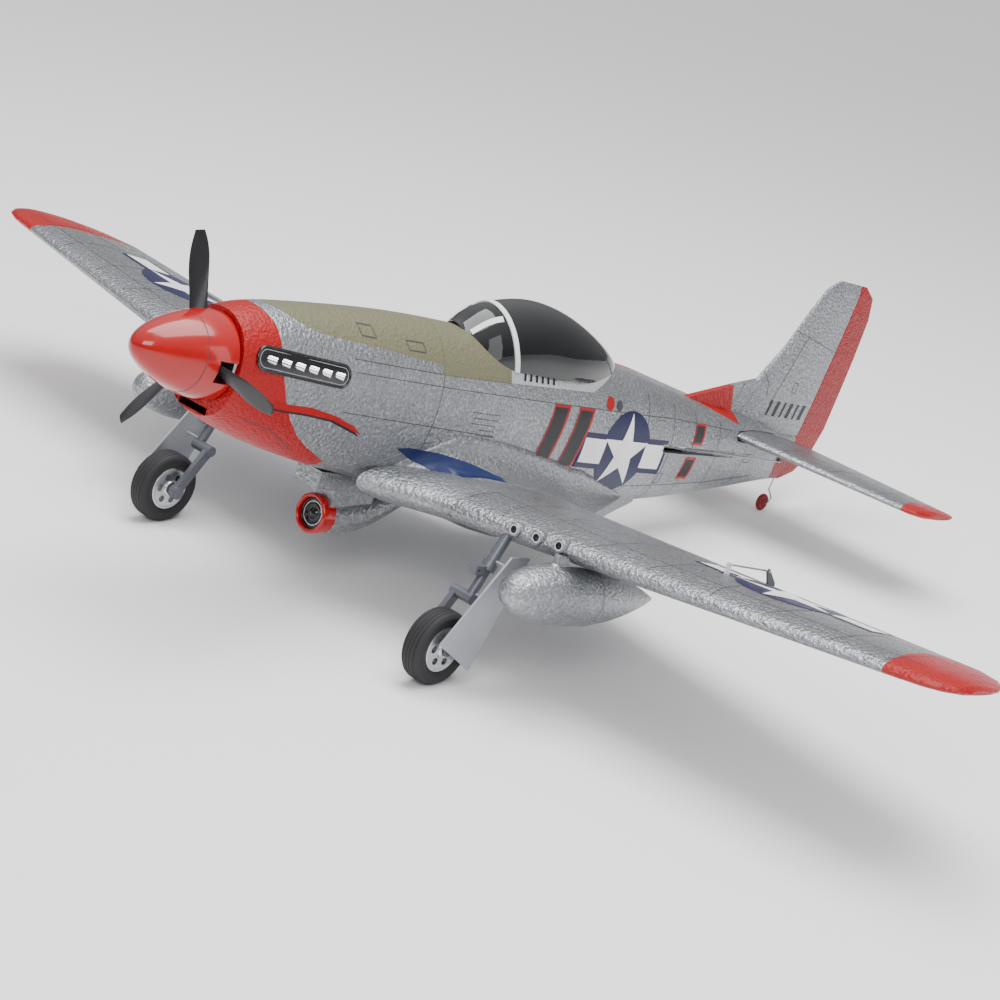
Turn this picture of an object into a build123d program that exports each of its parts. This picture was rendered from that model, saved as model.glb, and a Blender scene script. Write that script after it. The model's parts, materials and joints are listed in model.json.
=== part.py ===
from build123d import *
import os
from math import asin, atan2, cos, degrees, hypot, radians, sin, sqrt, tan

# A 1.2 m foam radio-controlled warbird with fixed tail-dragger gear.
# It is drawn flying level: -Y forward, +X to the port wing, +Z up, the spinner's tip at the origin
# and the thrust line along Y. to_ground() then stands it on its three wheels for writing.
# All sizes are in millimetres.

# ---- driving dimensions ------------------------------------------------------------------------
SPAN = 1200.0
HALF_SPAN = SPAN / 2

SPINNER_R = 37.5
SPINNER_END_Y = 82.0
COWL_Y = 84.0
PROP_Y = 70.0
PROP_R = 100.0
BLADE_COUNT = 3
FIRST_BLADE_DEG = 7.0
SHAFT_R = 2.5
BELL_R = 17.5
FIREWALL_Y = 130.0

FOAM_WALL = 7.0
TAIL_END_Y = 972.0
# fuselage stations: distance aft, half width, top height, bottom height
STATIONS = [
    (COWL_Y, 39.5, 41.0, -48.5),
    (110, 42.0, 48.5, -58.5),
    (150, 44.5, 53.5, -68.0),
    (215, 47.0, 58.5, -79.0),
    (300, 48.5, 62.0, -88.0),
    (380, 48.5, 61.0, -91.0),
    (470, 48.0, 56.5, -91.0),
    (560, 45.5, 52.5, -90.0),
    (640, 41.5, 47.0, -87.0),
    (720, 35.0, 35.5, -79.5),
    (800, 26.5, 27.0, -68.5),
    (880, 17.0, 22.0, -55.5),
    (TAIL_END_Y, 6.3, 17.5, -42.0),
]
UPPER_SQUARENESS = 2.2
LOWER_SQUARENESS = 2.5

ROOT_X = 50.0
WING_ROOT_LE_Y = 292.4
WING_LE_SWEEP = 0.0632
WING_ROOT_TE_Y = 553.8
WING_TE_SWEEP = 0.168
WING_ROOT_Z = -81.0
DIHEDRAL = 0.1044
ROOT_THICKNESS = 0.145
TIP_THICKNESS = 0.105
CAMBER = 0.015
TE_THICKNESS = 1.6
SPAR_R = 4.0
SPAR_FRACTION = 0.32

AILERON_INNER_X = 328.0
AILERON_OUTER_X = 532.0
AILERON_HINGE = 0.78
CUT_GAP = 0.6

STAB_Z = 3.0
STAB_HALF_SPAN = 237.0
STAB_ROOT_LE_Y = 836.0
STAB_LE_SWEEP = 0.111
STAB_ROOT_TE_Y = 967.0
STAB_TE_SWEEP = 0.068
STAB_THICKNESS = 0.105
ELEVATOR_HINGE_Y = 926.0
ELEVATOR_INNER_X = 13.5

RUDDER_HINGE_FOOT = (967.0, -44.0)
RUDDER_HINGE_HEAD = (1000.0, 186.0)

HATCH_GAP = 0.3

WHEEL_X = 181.0
WHEEL_Y = 260.5
WHEEL_Z = -173.0
WHEEL_R = 33.0
WHEEL_WIDTH = 22.0
AXLE_R = 2.5
TAIL_WHEEL_Y = 961.0
TAIL_WHEEL_Z = -71.0
TAIL_WHEEL_R = 9.5
RUNNING_GAP = 0.06

PIN_R = 0.8
WIRE_R = 0.8
LUG_THICK = 2.0
LUG_R = 2.0
LUG_BURIED = 8.0
NOSE_RATIO = 1.12
REGION_DEPTH = 120.0
HORN_FRONT = 2.0
HORN_BACK = 12.0

SERVO_LENGTH = 22.5
SERVO_WIDTH = 12.0
SERVO_HEIGHT = 22.0
SHAFT_DROP = 4.0
AILERON_ARM = 17.0
ARM_SWEEP = 13.0
ELEVATOR_ARM = 20.0
RUDDER_ARM = 18.0

TANK_X = 240.0
TANK_NOSE_Y = 246.0
TANK_TAIL_Y = 451.0
TANK_R = 26.5
TANK_Z = -99.0

# ---- the ground attitude -----------------------------------------------------------------------
wheel_base = hypot(TAIL_WHEEL_Y - WHEEL_Y, TAIL_WHEEL_Z - WHEEL_Z)
GROUND_ANGLE = degrees(
    atan2(TAIL_WHEEL_Z - WHEEL_Z, TAIL_WHEEL_Y - WHEEL_Y)
    + asin((WHEEL_R - TAIL_WHEEL_R) / wheel_base)
)


# ---- shared shapes -----------------------------------------------------------------------------
def power(value, exponent):
    """Signed power, for superellipses."""
    return (1 if value >= 0 else -1) * abs(value) ** exponent


def half_section(width, top, bottom):
    """Right half outline of a fuselage section, from its top to its bottom, as (x, z) points."""
    middle = (top + bottom) / 2
    height = (top - bottom) / 2
    points = []
    for step in range(9):
        angle = radians(90 - 22.5 * step)
        squareness = UPPER_SQUARENESS if step < 4 else LOWER_SQUARENESS
        x = width * abs(cos(angle)) ** (2 / squareness) if 0 < step < 8 else 0
        z = middle + height * power(sin(angle), 2 / squareness)
        points.append((x, z))
    return points


def body(grow, stations):
    """The fuselage loft as one solid, grown outward by grow."""
    with BuildPart() as hull:
        for y, width, top, bottom in stations:
            outline = half_section(width + grow, top + grow, bottom - grow)
            with BuildSketch(Plane(origin=(0, y, 0), x_dir=(1, 0, 0), z_dir=(0, -1, 0))):
                with BuildLine():
                    Spline(outline)
                    Spline([(-x, z) for x, z in reversed(outline)])
                make_face()
        loft()
    return hull.part


def bay(wall, stations):
    """The flat-sided hollow inside the fuselage, wall thick all round."""
    with BuildPart() as hollow:
        for y, width, top, bottom in stations:
            right = half_section(width - wall, top - wall, bottom + wall)[::2]
            left = [(-x, z) for x, z in reversed(right[1:-1])]
            with BuildSketch(Plane(origin=(0, y, 0), x_dir=(1, 0, 0), z_dir=(0, -1, 0))):
                with BuildLine():
                    Polyline(right + left, close=True)
                make_face()
        loft(ruled=True)
    return hollow.part


def side_prism(points, x_from, x_to):
    """A side-view outline, (y, z) points, extruded from one X to another."""
    with BuildPart() as prism:
        with BuildSketch(Plane(origin=(x_from, 0, 0), x_dir=(0, 1, 0), z_dir=(1, 0, 0))):
            with BuildLine():
                Polyline(points, close=True)
            make_face()
        extrude(amount=x_to - x_from)
    return prism.part


def block(x_range, y_range, z_range):
    """An upright box from its three ranges."""
    size = [high - low for low, high in (x_range, y_range, z_range)]
    middle = [(high + low) / 2 for low, high in (x_range, y_range, z_range)]
    with BuildPart() as box:
        with Locations(tuple(middle)):
            Box(*size)
    return box.part


def rod(start, end, radius, inner=0.0):
    """A straight round bar or tube between two points."""
    along = Vector(*end) - Vector(*start)
    with BuildPart() as bar:
        with BuildSketch(Plane(origin=start, z_dir=along)):
            Circle(radius)
            if inner > 0:
                Circle(inner, mode=Mode.SUBTRACT)
        extrude(amount=along.length)
    return bar.part


def bent_wire(points, radii, radius):
    """A round wire along straight runs joined by arcs."""
    with BuildPart() as wire:
        with BuildLine() as path:
            FilletPolyline(points, radius=radii)
        with BuildSketch(Plane(origin=path.line @ 0, z_dir=path.line % 0)):
            Circle(radius)
        sweep()
    return wire.part


def mirrored(piece):
    """The starboard copy of a port piece."""
    return mirror(piece, about=Plane.YZ)


# ---- wing --------------------------------------------------------------------------------------
def wing_le(x):
    return WING_ROOT_LE_Y + WING_LE_SWEEP * max(x - ROOT_X, 0)


def wing_te(x):
    return WING_ROOT_TE_Y - WING_TE_SWEEP * max(x - ROOT_X, 0)


def wing_z(x):
    return WING_ROOT_Z + DIHEDRAL * max(x - ROOT_X, 0)


def thickness_ratio(x):
    out = max(x - ROOT_X, 0) / (HALF_SPAN - ROOT_X)
    return ROOT_THICKNESS + (TIP_THICKNESS - ROOT_THICKNESS) * out


def camber_line(part_chord):
    return CAMBER * 4 * part_chord * (1 - part_chord)


def half_thickness(part_chord):
    """Half thickness of a unit section at a fraction of its chord."""
    s = part_chord
    return 5 * (0.2969 * sqrt(s) - 0.1260 * s - 0.3516 * s**2 + 0.2843 * s**3 - 0.1015 * s**4)


CHORD_STEPS = (0.02, 0.08, 0.2, 0.38, 0.6, 0.82)


def airfoil_face(x, le, te, z, ratio, camber, tail):
    """A wing section in the vertical plane at x."""
    chord = te - le

    def surface(part_chord, sign):
        thick = ratio * half_thickness(part_chord) * chord + part_chord * tail / 2
        return le + part_chord * chord, z + camber_line(part_chord) * camber * chord + sign * thick

    with BuildSketch(Plane(origin=(x, 0, 0), x_dir=(0, 1, 0), z_dir=(1, 0, 0))) as face:
        with BuildLine():
            upper = [surface(1, 1)] + [surface(s, 1) for s in reversed(CHORD_STEPS)] + [(le, z)]
            lower = [(le, z)] + [surface(s, -1) for s in CHORD_STEPS] + [surface(1, -1)]
            top = Spline(upper)
            under = Spline(lower)
            Line(under @ 1, top @ 0)
        make_face()
    return face.sketch


def wing_section(x, le=None, te=None):
    le = wing_le(x) if le is None else le
    te = wing_te(x) if te is None else te
    return airfoil_face(x, le, te, wing_z(x), thickness_ratio(x), 1.0, TE_THICKNESS)


# wing tip: distance out, leading edge, trailing edge
TIP_RIBS = [(572, 326.0, 452.0), (586, 331.5, 432.0), (595, 341.0, 411.0), (HALF_SPAN, 358.0, 388.0)]


def wing_solid():
    """The whole port wing panel."""
    with BuildPart() as panel:
        extrude(wing_section(0), amount=ROOT_X)
        loft([wing_section(ROOT_X), wing_section(545)])
        loft([wing_section(545), wing_section(572, 326.0, 452.0)])
        ribs = [wing_section(*rib) for rib in TIP_RIBS]
        for inner, outer in zip(ribs, ribs[1:]):
            loft([inner, outer], ruled=True)
    return panel.part


def wing_point(x, part_chord):
    """Mid-thickness point of the wing."""
    chord = wing_te(x) - wing_le(x)
    return Vector(x, wing_le(x) + part_chord * chord, wing_z(x) + camber_line(part_chord) * chord)


def wing_half_thick(x, part_chord):
    chord = wing_te(x) - wing_le(x)
    return thickness_ratio(x) * half_thickness(part_chord) * chord + part_chord * TE_THICKNESS / 2


wing_panel = wing_solid()


# ---- hinged surfaces ---------------------------------------------------------------------------
class HingeLine:
    """A control surface's axis, with the frame that its parts are placed in.

    In that frame x points aft, z runs along the axis from start to end, and the surface is on +x.
    """

    def __init__(self, start, end, aft, half_thick_start, half_thick_end):
        self.start = Vector(*start)
        self.axis = (Vector(*end) - self.start).normalized()
        self.length = (Vector(*end) - self.start).length
        across = Vector(*aft)
        self.aft = (across - self.axis * across.dot(self.axis)).normalized()
        self.plane = Plane(origin=self.start, x_dir=self.aft, z_dir=self.axis)
        self.nose = (NOSE_RATIO * half_thick_start, NOSE_RATIO * half_thick_end)

    def point(self, along, x=0.0, y=0.0):
        return self.start + self.axis * along + self.aft * x + self.plane.y_dir * y

    def nose_radius(self, along):
        return self.nose[0] + (self.nose[1] - self.nose[0]) * along / self.length

    def region(self, grow, end_grow):
        """Everything behind the axis, with the round nose ahead of it."""
        with BuildPart(self.plane) as zone:
            with Locations((0, 0, -end_grow)):
                Box(
                    REGION_DEPTH,
                    REGION_DEPTH,
                    self.length + 2 * end_grow,
                    align=(Align.MIN, Align.CENTER, Align.MIN),
                )
                Cone(
                    self.nose[0] + grow,
                    self.nose[1] + grow,
                    self.length + 2 * end_grow,
                    align=(Align.CENTER, Align.CENTER, Align.MIN),
                )
        return zone.part

    def lug(self, along):
        """The fixed hinge leaf: a strip with a rounded, drilled end around the axis."""
        reach = self.nose_radius(along) + LUG_BURIED
        with BuildPart(Plane(origin=self.point(along), x_dir=self.aft, z_dir=self.axis)) as leaf:
            Cylinder(LUG_R, LUG_THICK)
            with Locations((-reach / 2, 0, 0)):
                Box(reach, 2 * LUG_R, LUG_THICK)
            Cylinder(PIN_R, 2 * LUG_THICK, mode=Mode.SUBTRACT)
        return leaf.part

    def notch(self, along):
        """Room in the moving nose for one leaf."""
        depth = self.nose_radius(along) + 3
        with BuildPart(Plane(origin=self.point(along), x_dir=self.aft, z_dir=self.axis)) as room:
            Cylinder(LUG_R + CUT_GAP, LUG_THICK + 1)
            with Locations((-depth / 2, 0, 0)):
                Box(depth, 2 * depth, LUG_THICK + 1)
        return room.part

    def pin(self, low, high, radius):
        return rod(tuple(self.point(low)), tuple(self.point(high)), radius)


class Linkage:
    """Servo, arm, wire and horn of one control surface: a parallelogram in side view.

    The arm's axis and the hinge line are parallel, and arm and horn have the same length.
    side is the side of the plates that the wire runs on, along the hinge axis.
    """

    def __init__(self, line, along, upright, radius, to_servo, side):
        self.line = line
        self.axis = line.axis * side
        self.horn_centre = line.point(along)
        across = Vector(*upright)
        across = across - line.axis * across.dot(line.axis)
        self.up = (across - line.aft * across.dot(line.aft)).normalized()
        self.radius = radius
        self.reach = Vector(*to_servo)
        self.arm_centre = self.horn_centre + self.reach
        self.horn_hole = self.horn_centre + self.up * radius
        self.arm_hole = self.arm_centre + self.up * radius
        self.aft = line.aft

    def plate(self, centre):
        return Plane(origin=centre, x_dir=self.aft, z_dir=self.aft.cross(self.up))

    def horn(self, skin):
        """Horn plate standing on the surface's skin, skin away from the axis."""
        with BuildPart() as part:
            with BuildSketch(self.plate(self.horn_centre)):
                with BuildLine():
                    Polyline(
                        (HORN_FRONT, skin - 3),
                        (HORN_FRONT, skin + 1),
                        (-2.2, self.radius),
                        (0, self.radius + 2.6),
                        (2.6, self.radius),
                        (HORN_BACK, skin + 1),
                        (HORN_BACK, skin - 3),
                        close=True,
                    )
                make_face()
                with Locations((0, self.radius)):
                    Circle(WIRE_R + RUNNING_GAP, mode=Mode.SUBTRACT)
            extrude(amount=LUG_THICK / 2, both=True)
        return part.part

    def arm(self):
        with BuildPart() as part:
            with BuildSketch(self.plate(self.arm_centre)):
                Circle(3.4)
                with BuildLine():
                    Polyline(
                        (-3, 0), (-2.2, self.radius + 2.4), (2.2, self.radius + 2.4), (3, 0),
                        close=True,
                    )
                make_face()
                with Locations((0, self.radius)):
                    Circle(WIRE_R + RUNNING_GAP, mode=Mode.SUBTRACT)
            extrude(amount=LUG_THICK / 2, both=True)
        boss = rod(
            tuple(self.arm_centre - self.axis * 0.5),
            tuple(self.arm_centre - self.axis * SHAFT_DROP),
            2.4,
        )
        return part.part + boss

    def wire(self):
        out = self.axis * 3
        back = self.axis * 1.6
        return bent_wire(
            [
                tuple(self.horn_hole - back),
                tuple(self.horn_hole + out),
                tuple(self.arm_hole + out),
                tuple(self.arm_hole - back),
            ],
            1.4,
            WIRE_R,
        )

    def servo_plane(self):
        forward = self.reach.normalized()
        forward = (forward - self.axis * forward.dot(self.axis)).normalized()
        return Plane(origin=self.arm_centre, x_dir=forward, z_dir=self.axis * -1)

    def servo(self, grow=0.0):
        """Servo case with its two mounting ears, below the arm."""
        with BuildPart(self.servo_plane()) as part:
            with Locations((SERVO_LENGTH / 2 - 5.5, 0, SHAFT_DROP + 0.3 - grow)):
                Box(
                    SERVO_LENGTH + 2 * grow,
                    SERVO_WIDTH + 2 * grow,
                    SERVO_HEIGHT + 2 * grow,
                    align=(Align.CENTER, Align.CENTER, Align.MIN),
                )
            with Locations((SERVO_LENGTH / 2 - 5.5, 0, SHAFT_DROP + 4.3 - grow)):
                Box(
                    SERVO_LENGTH + 9 + 2 * grow,
                    SERVO_WIDTH + 2 * grow,
                    2 + 2 * grow,
                    align=(Align.CENTER, Align.CENTER, Align.MIN),
                )
        return part.part


# ---- ailerons ----------------------------------------------------------------------------------
port_aileron = HingeLine(
    tuple(wing_point(AILERON_INNER_X, AILERON_HINGE)),
    tuple(wing_point(AILERON_OUTER_X, AILERON_HINGE)),
    (0, 1, 0),
    wing_half_thick(AILERON_INNER_X, AILERON_HINGE),
    wing_half_thick(AILERON_OUTER_X, AILERON_HINGE),
)
aileron_lug_places = (22.0, port_aileron.length / 2, port_aileron.length - 18)
port_link = Linkage(port_aileron, 9.0, (0, 0, 1), AILERON_ARM, (-2, -60, 2.5), -1)


def arm_slot(link):
    """Opening that the arm swings in, from the servo out through the skin."""
    with BuildPart(link.servo_plane()) as slot:
        with Locations((0, 5, 0)):
            Box(2 * ARM_SWEEP, 60, 9, align=(Align.CENTER, Align.MAX, Align.CENTER))
    return slot.part


def moving_surface(total, line, lug_places, bore_from=-1.0):
    """The surface behind a hinge line, notched for the leaves and bored for the pin."""
    with BuildPart() as surface:
        add(total & line.region(0, 0))
        for place in lug_places:
            add(line.notch(place), mode=Mode.SUBTRACT)
        add(line.pin(bore_from, line.length + 1, PIN_R + RUNNING_GAP), mode=Mode.SUBTRACT)
    return surface.part


def cut_all(base, cutters):
    """A solid with a list of others taken away."""
    with BuildPart() as rest:
        add(base)
        for cutter in cutters:
            add(cutter, mode=Mode.SUBTRACT)
    return rest.part


port_horn = port_link.horn(wing_half_thick(AILERON_INNER_X, AILERON_HINGE))
aileron_left = cut_all(moving_surface(wing_panel, port_aileron, aileron_lug_places), [port_horn])
port_lugs = [port_aileron.lug(place) for place in aileron_lug_places]

# ---- wing furniture ----------------------------------------------------------------------------
GUN_XS = (188.0, 211.5, 235.0)
GUN_R = 4.7
GUN_BORE_R = 3.3
GUN_RAISE = 3.5
LEG_TOP = (178.0, 311.0, -62.0)
LEG_FOOT = (178.0, 285.0, -130.0)
LEG_R = 5.2
STRUT_R = 4.2
ARM_X = 163.5


def gun(x, outer, inner, back):
    z = wing_z(x) + GUN_RAISE
    front = wing_le(x) - 2.5
    return rod((x, front, z), (x, front + back, z), outer, inner)


port_spar = rod(
    (4, wing_point(4, SPAR_FRACTION).Y, WING_ROOT_Z - 1),
    (AILERON_INNER_X, wing_point(AILERON_INNER_X, SPAR_FRACTION).Y, wing_z(AILERON_INNER_X) + 1),
    SPAR_R,
    SPAR_R - 1,
)
spar_bore = rod(
    (4, wing_point(4, SPAR_FRACTION).Y, WING_ROOT_Z - 1),
    (AILERON_INNER_X, wing_point(AILERON_INNER_X, SPAR_FRACTION).Y, wing_z(AILERON_INNER_X) + 1),
    SPAR_R,
)
leg_way = Vector(*LEG_FOOT) - Vector(*LEG_TOP)
wing_left = cut_all(
    wing_panel,
    [
        port_aileron.region(CUT_GAP, CUT_GAP),
        *port_lugs,
        spar_bore,
        port_link.servo(0.3),
        arm_slot(port_link),
        *[gun(x, GUN_R, 0, 18) for x in GUN_XS],
        rod(LEG_TOP, LEG_FOOT, LEG_R),
    ],
)
port_guns = [gun(x, GUN_R, GUN_BORE_R, 18) for x in GUN_XS]

# ---- stabiliser and elevator -------------------------------------------------------------------


def stab_le(x):
    return STAB_ROOT_LE_Y + STAB_LE_SWEEP * x


def stab_te(x):
    return STAB_ROOT_TE_Y - STAB_TE_SWEEP * x


STAB_TIP_RIBS = [
    (222, stab_le(222), stab_te(222)),
    (231, 867.0, 944.0),
    (STAB_HALF_SPAN, 886.0, 928.0),
]


def stab_section(x, le, te):
    return airfoil_face(x, le, te, STAB_Z, STAB_THICKNESS, 0.0, TE_THICKNESS)


with BuildPart() as stab_half:
    loft([stab_section(0, stab_le(0), stab_te(0)), stab_section(*STAB_TIP_RIBS[0])])
    for inner, outer in zip(STAB_TIP_RIBS, STAB_TIP_RIBS[1:]):
        loft([stab_section(*inner), stab_section(*outer)], ruled=True)


def stab_half_thick(x):
    chord = stab_te(x) - stab_le(x)
    fraction = (ELEVATOR_HINGE_Y - stab_le(x)) / chord
    return STAB_THICKNESS * half_thickness(fraction) * chord + fraction * TE_THICKNESS / 2


port_elevator = HingeLine(
    (ELEVATOR_INNER_X, ELEVATOR_HINGE_Y, STAB_Z),
    (STAB_HALF_SPAN + 3, ELEVATOR_HINGE_Y, STAB_Z),
    (0, 1, 0),
    stab_half_thick(ELEVATOR_INNER_X),
    stab_half_thick(STAB_HALF_SPAN),
)
elevator_lug_places = (42.0, 165.0)
elevator_link = Linkage(port_elevator, 9.0, (0, 0, -1), ELEVATOR_ARM, (0, -366, 0), 1)
elevator_horn = elevator_link.horn(stab_half_thick(ELEVATOR_INNER_X))
elevator_joiner = rod(
    (-STAB_HALF_SPAN + 40, ELEVATOR_HINGE_Y, STAB_Z),
    (STAB_HALF_SPAN - 40, ELEVATOR_HINGE_Y, STAB_Z),
    PIN_R,
)
wire_clearance = rod(
    (-STAB_HALF_SPAN, ELEVATOR_HINGE_Y, STAB_Z), (STAB_HALF_SPAN, ELEVATOR_HINGE_Y, STAB_Z), 2.0
)
port_elevator_lugs = [port_elevator.lug(place) for place in elevator_lug_places]
lug_clearance = [
    rod(
        tuple(port_elevator.point(place - LUG_THICK)),
        tuple(port_elevator.point(place + LUG_THICK)),
        PIN_R + RUNNING_GAP,
    )
    for place in elevator_lug_places
]
port_elevator_lugs = [cut_all(lug, [gap]) for lug, gap in zip(port_elevator_lugs, lug_clearance)]
elevator_half = cut_all(
    stab_half.part & port_elevator.region(0, 0),
    [port_elevator.notch(place) for place in elevator_lug_places] + [elevator_joiner],
)
stab_rest = cut_all(
    stab_half.part,
    [
        port_elevator.region(CUT_GAP, CUT_GAP),
        block((-20, 20), (ELEVATOR_HINGE_Y - 8, 1000), (-40, 40)),
        *[port_elevator.lug(place) for place in elevator_lug_places],
    ],
)
stabiliser = stab_rest + mirrored(stab_rest)
elevator = cut_all(elevator_half + mirrored(elevator_half), [elevator_horn])

# ---- fin and rudder ----------------------------------------------------------------------------
# height, leading edge, trailing edge
FIN_RIBS = [
    (-42.0, 938.0, 974.0),
    (-32.0, 926.0, 998.0),
    (-12.0, 905.0, 1017.0),
    (20.0, 850.0, 1028.0),
    (62.0, 863.0, 1031.5),
    (105.0, 895.0, 1034.5),
    (150.0, 919.0, 1035.0),
    (174.0, 935.0, 1028.0),
    (185.0, 953.0, 1008.0),
]
FIN_THICKNESS = 0.085
DORSAL = [(735.0, 20.0), (752.0, 32.5), (823.0, 52.0), (868.0, 63.0), (868.0, 15.0), (760.0, 15.0)]
DORSAL_HALF_THICK = 3.2


def fin_section(z, le, te):
    """A symmetric section at a height, lying level."""
    chord = te - le

    def side(part_chord, sign):
        thick = FIN_THICKNESS * half_thickness(part_chord) * chord + part_chord * TE_THICKNESS / 2
        return sign * thick, le + part_chord * chord

    with BuildSketch(Plane.XY.offset(z)) as face:
        with BuildLine():
            port = [side(1, 1)] + [side(s, 1) for s in reversed(CHORD_STEPS)] + [(0, le)]
            starboard = [(0, le)] + [side(s, -1) for s in CHORD_STEPS] + [side(1, -1)]
            one_side = Spline(port)
            other = Spline(starboard)
            Line(other @ 1, one_side @ 0)
        make_face()
    return face.sketch


with BuildPart() as tail:
    fin_faces = [fin_section(*rib) for rib in FIN_RIBS]
    for below, above in zip(fin_faces, fin_faces[1:]):
        loft([below, above], ruled=True)

rudder_line = HingeLine(
    (0, *RUDDER_HINGE_FOOT),
    (0, *RUDDER_HINGE_HEAD),
    (0, 1, 0),
    5.0,
    3.2,
)
rudder_lug_places = (30.0, 110.0, 195.0)
RUDDER_HORN_ALONG = 22.0
rudder_link = Linkage(rudder_line, RUDDER_HORN_ALONG, (-1, 0, 0), RUDDER_ARM, (0, -360, 0), -1)
rudder_horn = rudder_link.horn(4.6)
rudder_lugs = [rudder_line.lug(place) for place in rudder_lug_places]
STRUT_HEAD = 16.0
stern_end = rudder_line.point(-12)
TAIL_ARM_X = 7.0
tail_strut = bent_wire(
    [
        tuple(rudder_line.point(STRUT_HEAD)),
        tuple(stern_end),
        (TAIL_ARM_X, stern_end.Y - 1, stern_end.Z - 7),
        (TAIL_ARM_X, TAIL_WHEEL_Y, TAIL_WHEEL_Z),
        (-4.5, TAIL_WHEEL_Y, TAIL_WHEEL_Z),
    ],
    2.0,
    WIRE_R,
)
rudder = cut_all(
    moving_surface(tail.part, rudder_line, rudder_lug_places, STRUT_HEAD + 1),
    [rudder_horn, tail_strut],
)

with BuildPart() as dorsal:
    add(side_prism(DORSAL, -DORSAL_HALF_THICK, DORSAL_HALF_THICK))

# ---- fuselage ----------------------------------------------------------------------------------
hull = body(0, STATIONS)
BAY_STATIONS = [STATIONS[index] for index in (1, 3, 7, 11)]
hollow = bay(FOAM_WALL, BAY_STATIONS)


def wing_saddle(lift):
    """The space of the wing's centre section, open downward, lift above its skin."""
    chord = wing_te(0) - wing_le(0)
    skin = [
        (
            wing_le(0) + s * chord,
            lift + WING_ROOT_Z + camber_line(s) * chord
            + ROOT_THICKNESS * half_thickness(s) * chord + s * TE_THICKNESS / 2,
        )
        for s in (0.01, 0.04, 0.1, 0.2, 0.3, 0.4, 0.5, 0.6, 0.7, 0.8, 0.9, 1.0)
    ]
    front = wing_le(0) - 0.5
    back = wing_te(0) + 0.5
    outline = [(front, -140), (front, WING_ROOT_Z)] + skin[:-1]
    return side_prism(outline + [(back, skin[-1][1]), (back, -140)], -60, 60)


SADDLE_LIFT = 0.8
HATCH_LINE = [(320.0, 24.0), (548.0, 28.0), (612.0, 56.0), (612.0, 130.0), (320.0, 130.0)]
hatch_zone = side_prism(HATCH_LINE, -70, 70)
hatch_room = side_prism(
    [
        (HATCH_LINE[0][0] + HATCH_GAP, HATCH_LINE[0][1] + HATCH_GAP),
        (HATCH_LINE[1][0] - HATCH_GAP, HATCH_LINE[1][1] + HATCH_GAP),
        (HATCH_LINE[2][0] - HATCH_GAP, HATCH_LINE[2][1] + HATCH_GAP),
        (HATCH_LINE[3][0] - HATCH_GAP, HATCH_LINE[3][1]),
        (HATCH_LINE[4][0] + HATCH_GAP, HATCH_LINE[4][1]),
    ],
    -70,
    70,
)


def skin_x(y, z):
    """Half width of the fuselage at a place along it and a height."""
    for front, rear in zip(STATIONS, STATIONS[1:]):
        if front[0] <= y <= rear[0]:
            share = (y - front[0]) / (rear[0] - front[0])
            width, top, bottom = [a + (b - a) * share for a, b in zip(front[1:], rear[1:])]
    rise = (z - (top + bottom) / 2) / ((top - bottom) / 2)
    squareness = UPPER_SQUARENESS if rise > 0 else LOWER_SQUARENESS
    return width * (1 - abs(rise) ** squareness) ** (1 / squareness)


# exhaust panel and its stacks
PANEL_Y = 150.5
PANEL_Z = 12.0
PANEL_LENGTH = 107.0
PANEL_HEIGHT = 21.0
PANEL_TILT = -2.7
PANEL_DEPTH = 2.4
STACK_COUNT = 6
STACK_STEP = 15.6
STACK_R = 3.5
STACK_BORE_R = 2.5


def exhaust_capsule():
    """Long panel with round ends, through the port side."""
    side = Plane(origin=(20, PANEL_Y, PANEL_Z), x_dir=(0, 1, 0), z_dir=(1, 0, 0))
    with BuildPart() as capsule:
        with BuildSketch(side):
            with Locations(Rot(0, 0, PANEL_TILT)):
                SlotOverall(PANEL_LENGTH, PANEL_HEIGHT)
        extrude(amount=45)
    return capsule.part


def stack(number, radius, bore):
    along = (number - (STACK_COUNT - 1) / 2) * STACK_STEP
    y = PANEL_Y + along
    z = PANEL_Z + along * tan(radians(PANEL_TILT))
    reach = skin_x(y, z)
    return rod((reach - 6, y - 4, z), (reach + 4.5, y + 4, z), radius, bore)


inner_hull = body(-PANEL_DEPTH, STATIONS)
panel_space = cut_all(hull & exhaust_capsule(), [inner_hull])
port_panel = cut_all(
    body(0.7, STATIONS) & exhaust_capsule(),
    [inner_hull] + [stack(number, STACK_R, 0) for number in range(STACK_COUNT)],
)
port_stacks = [
    cut_all(stack(number, STACK_R, STACK_BORE_R), [inner_hull]) for number in range(STACK_COUNT)
]

# slot for the stabiliser through the tail
stab_slot = side_prism(
    [
        (stab_le(0) - 0.5, STAB_Z),
        (stab_le(0) + 4, STAB_Z + 5.2),
        (stab_le(0) + 36, STAB_Z + 7.7),
        (stab_le(0) + 83, STAB_Z + 6.2),
        (stab_le(0) + 83, STAB_Z - 6.2),
        (stab_le(0) + 36, STAB_Z - 7.7),
        (stab_le(0) + 4, STAB_Z - 5.2),
    ],
    -40,
    40,
)

# magnets that hold the hatch: place along, how far the wall's middle lies inside the skin
MAGNET_R = 2.5
MAGNET_THICK = 2.0
MAGNET_YS = (346.0, 516.0)
MAGNET_INSET = 3.6


def sill(y):
    """Height of the hatch opening's edge."""
    (y1, z1), (y2, z2) = HATCH_LINE[0], HATCH_LINE[1]
    return z1 + (z2 - z1) * (y - y1) / (y2 - y1)


def magnets(low, high):
    """Four upright discs around the hatch edge, from low to high above the sill."""
    discs = []
    for y in MAGNET_YS:
        x = skin_x(y, sill(y)) - MAGNET_INSET
        for side in (-1, 1):
            discs.append(rod((side * x, y, sill(y) + low), (side * x, y, sill(y) + high), MAGNET_R))
    return discs


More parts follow.
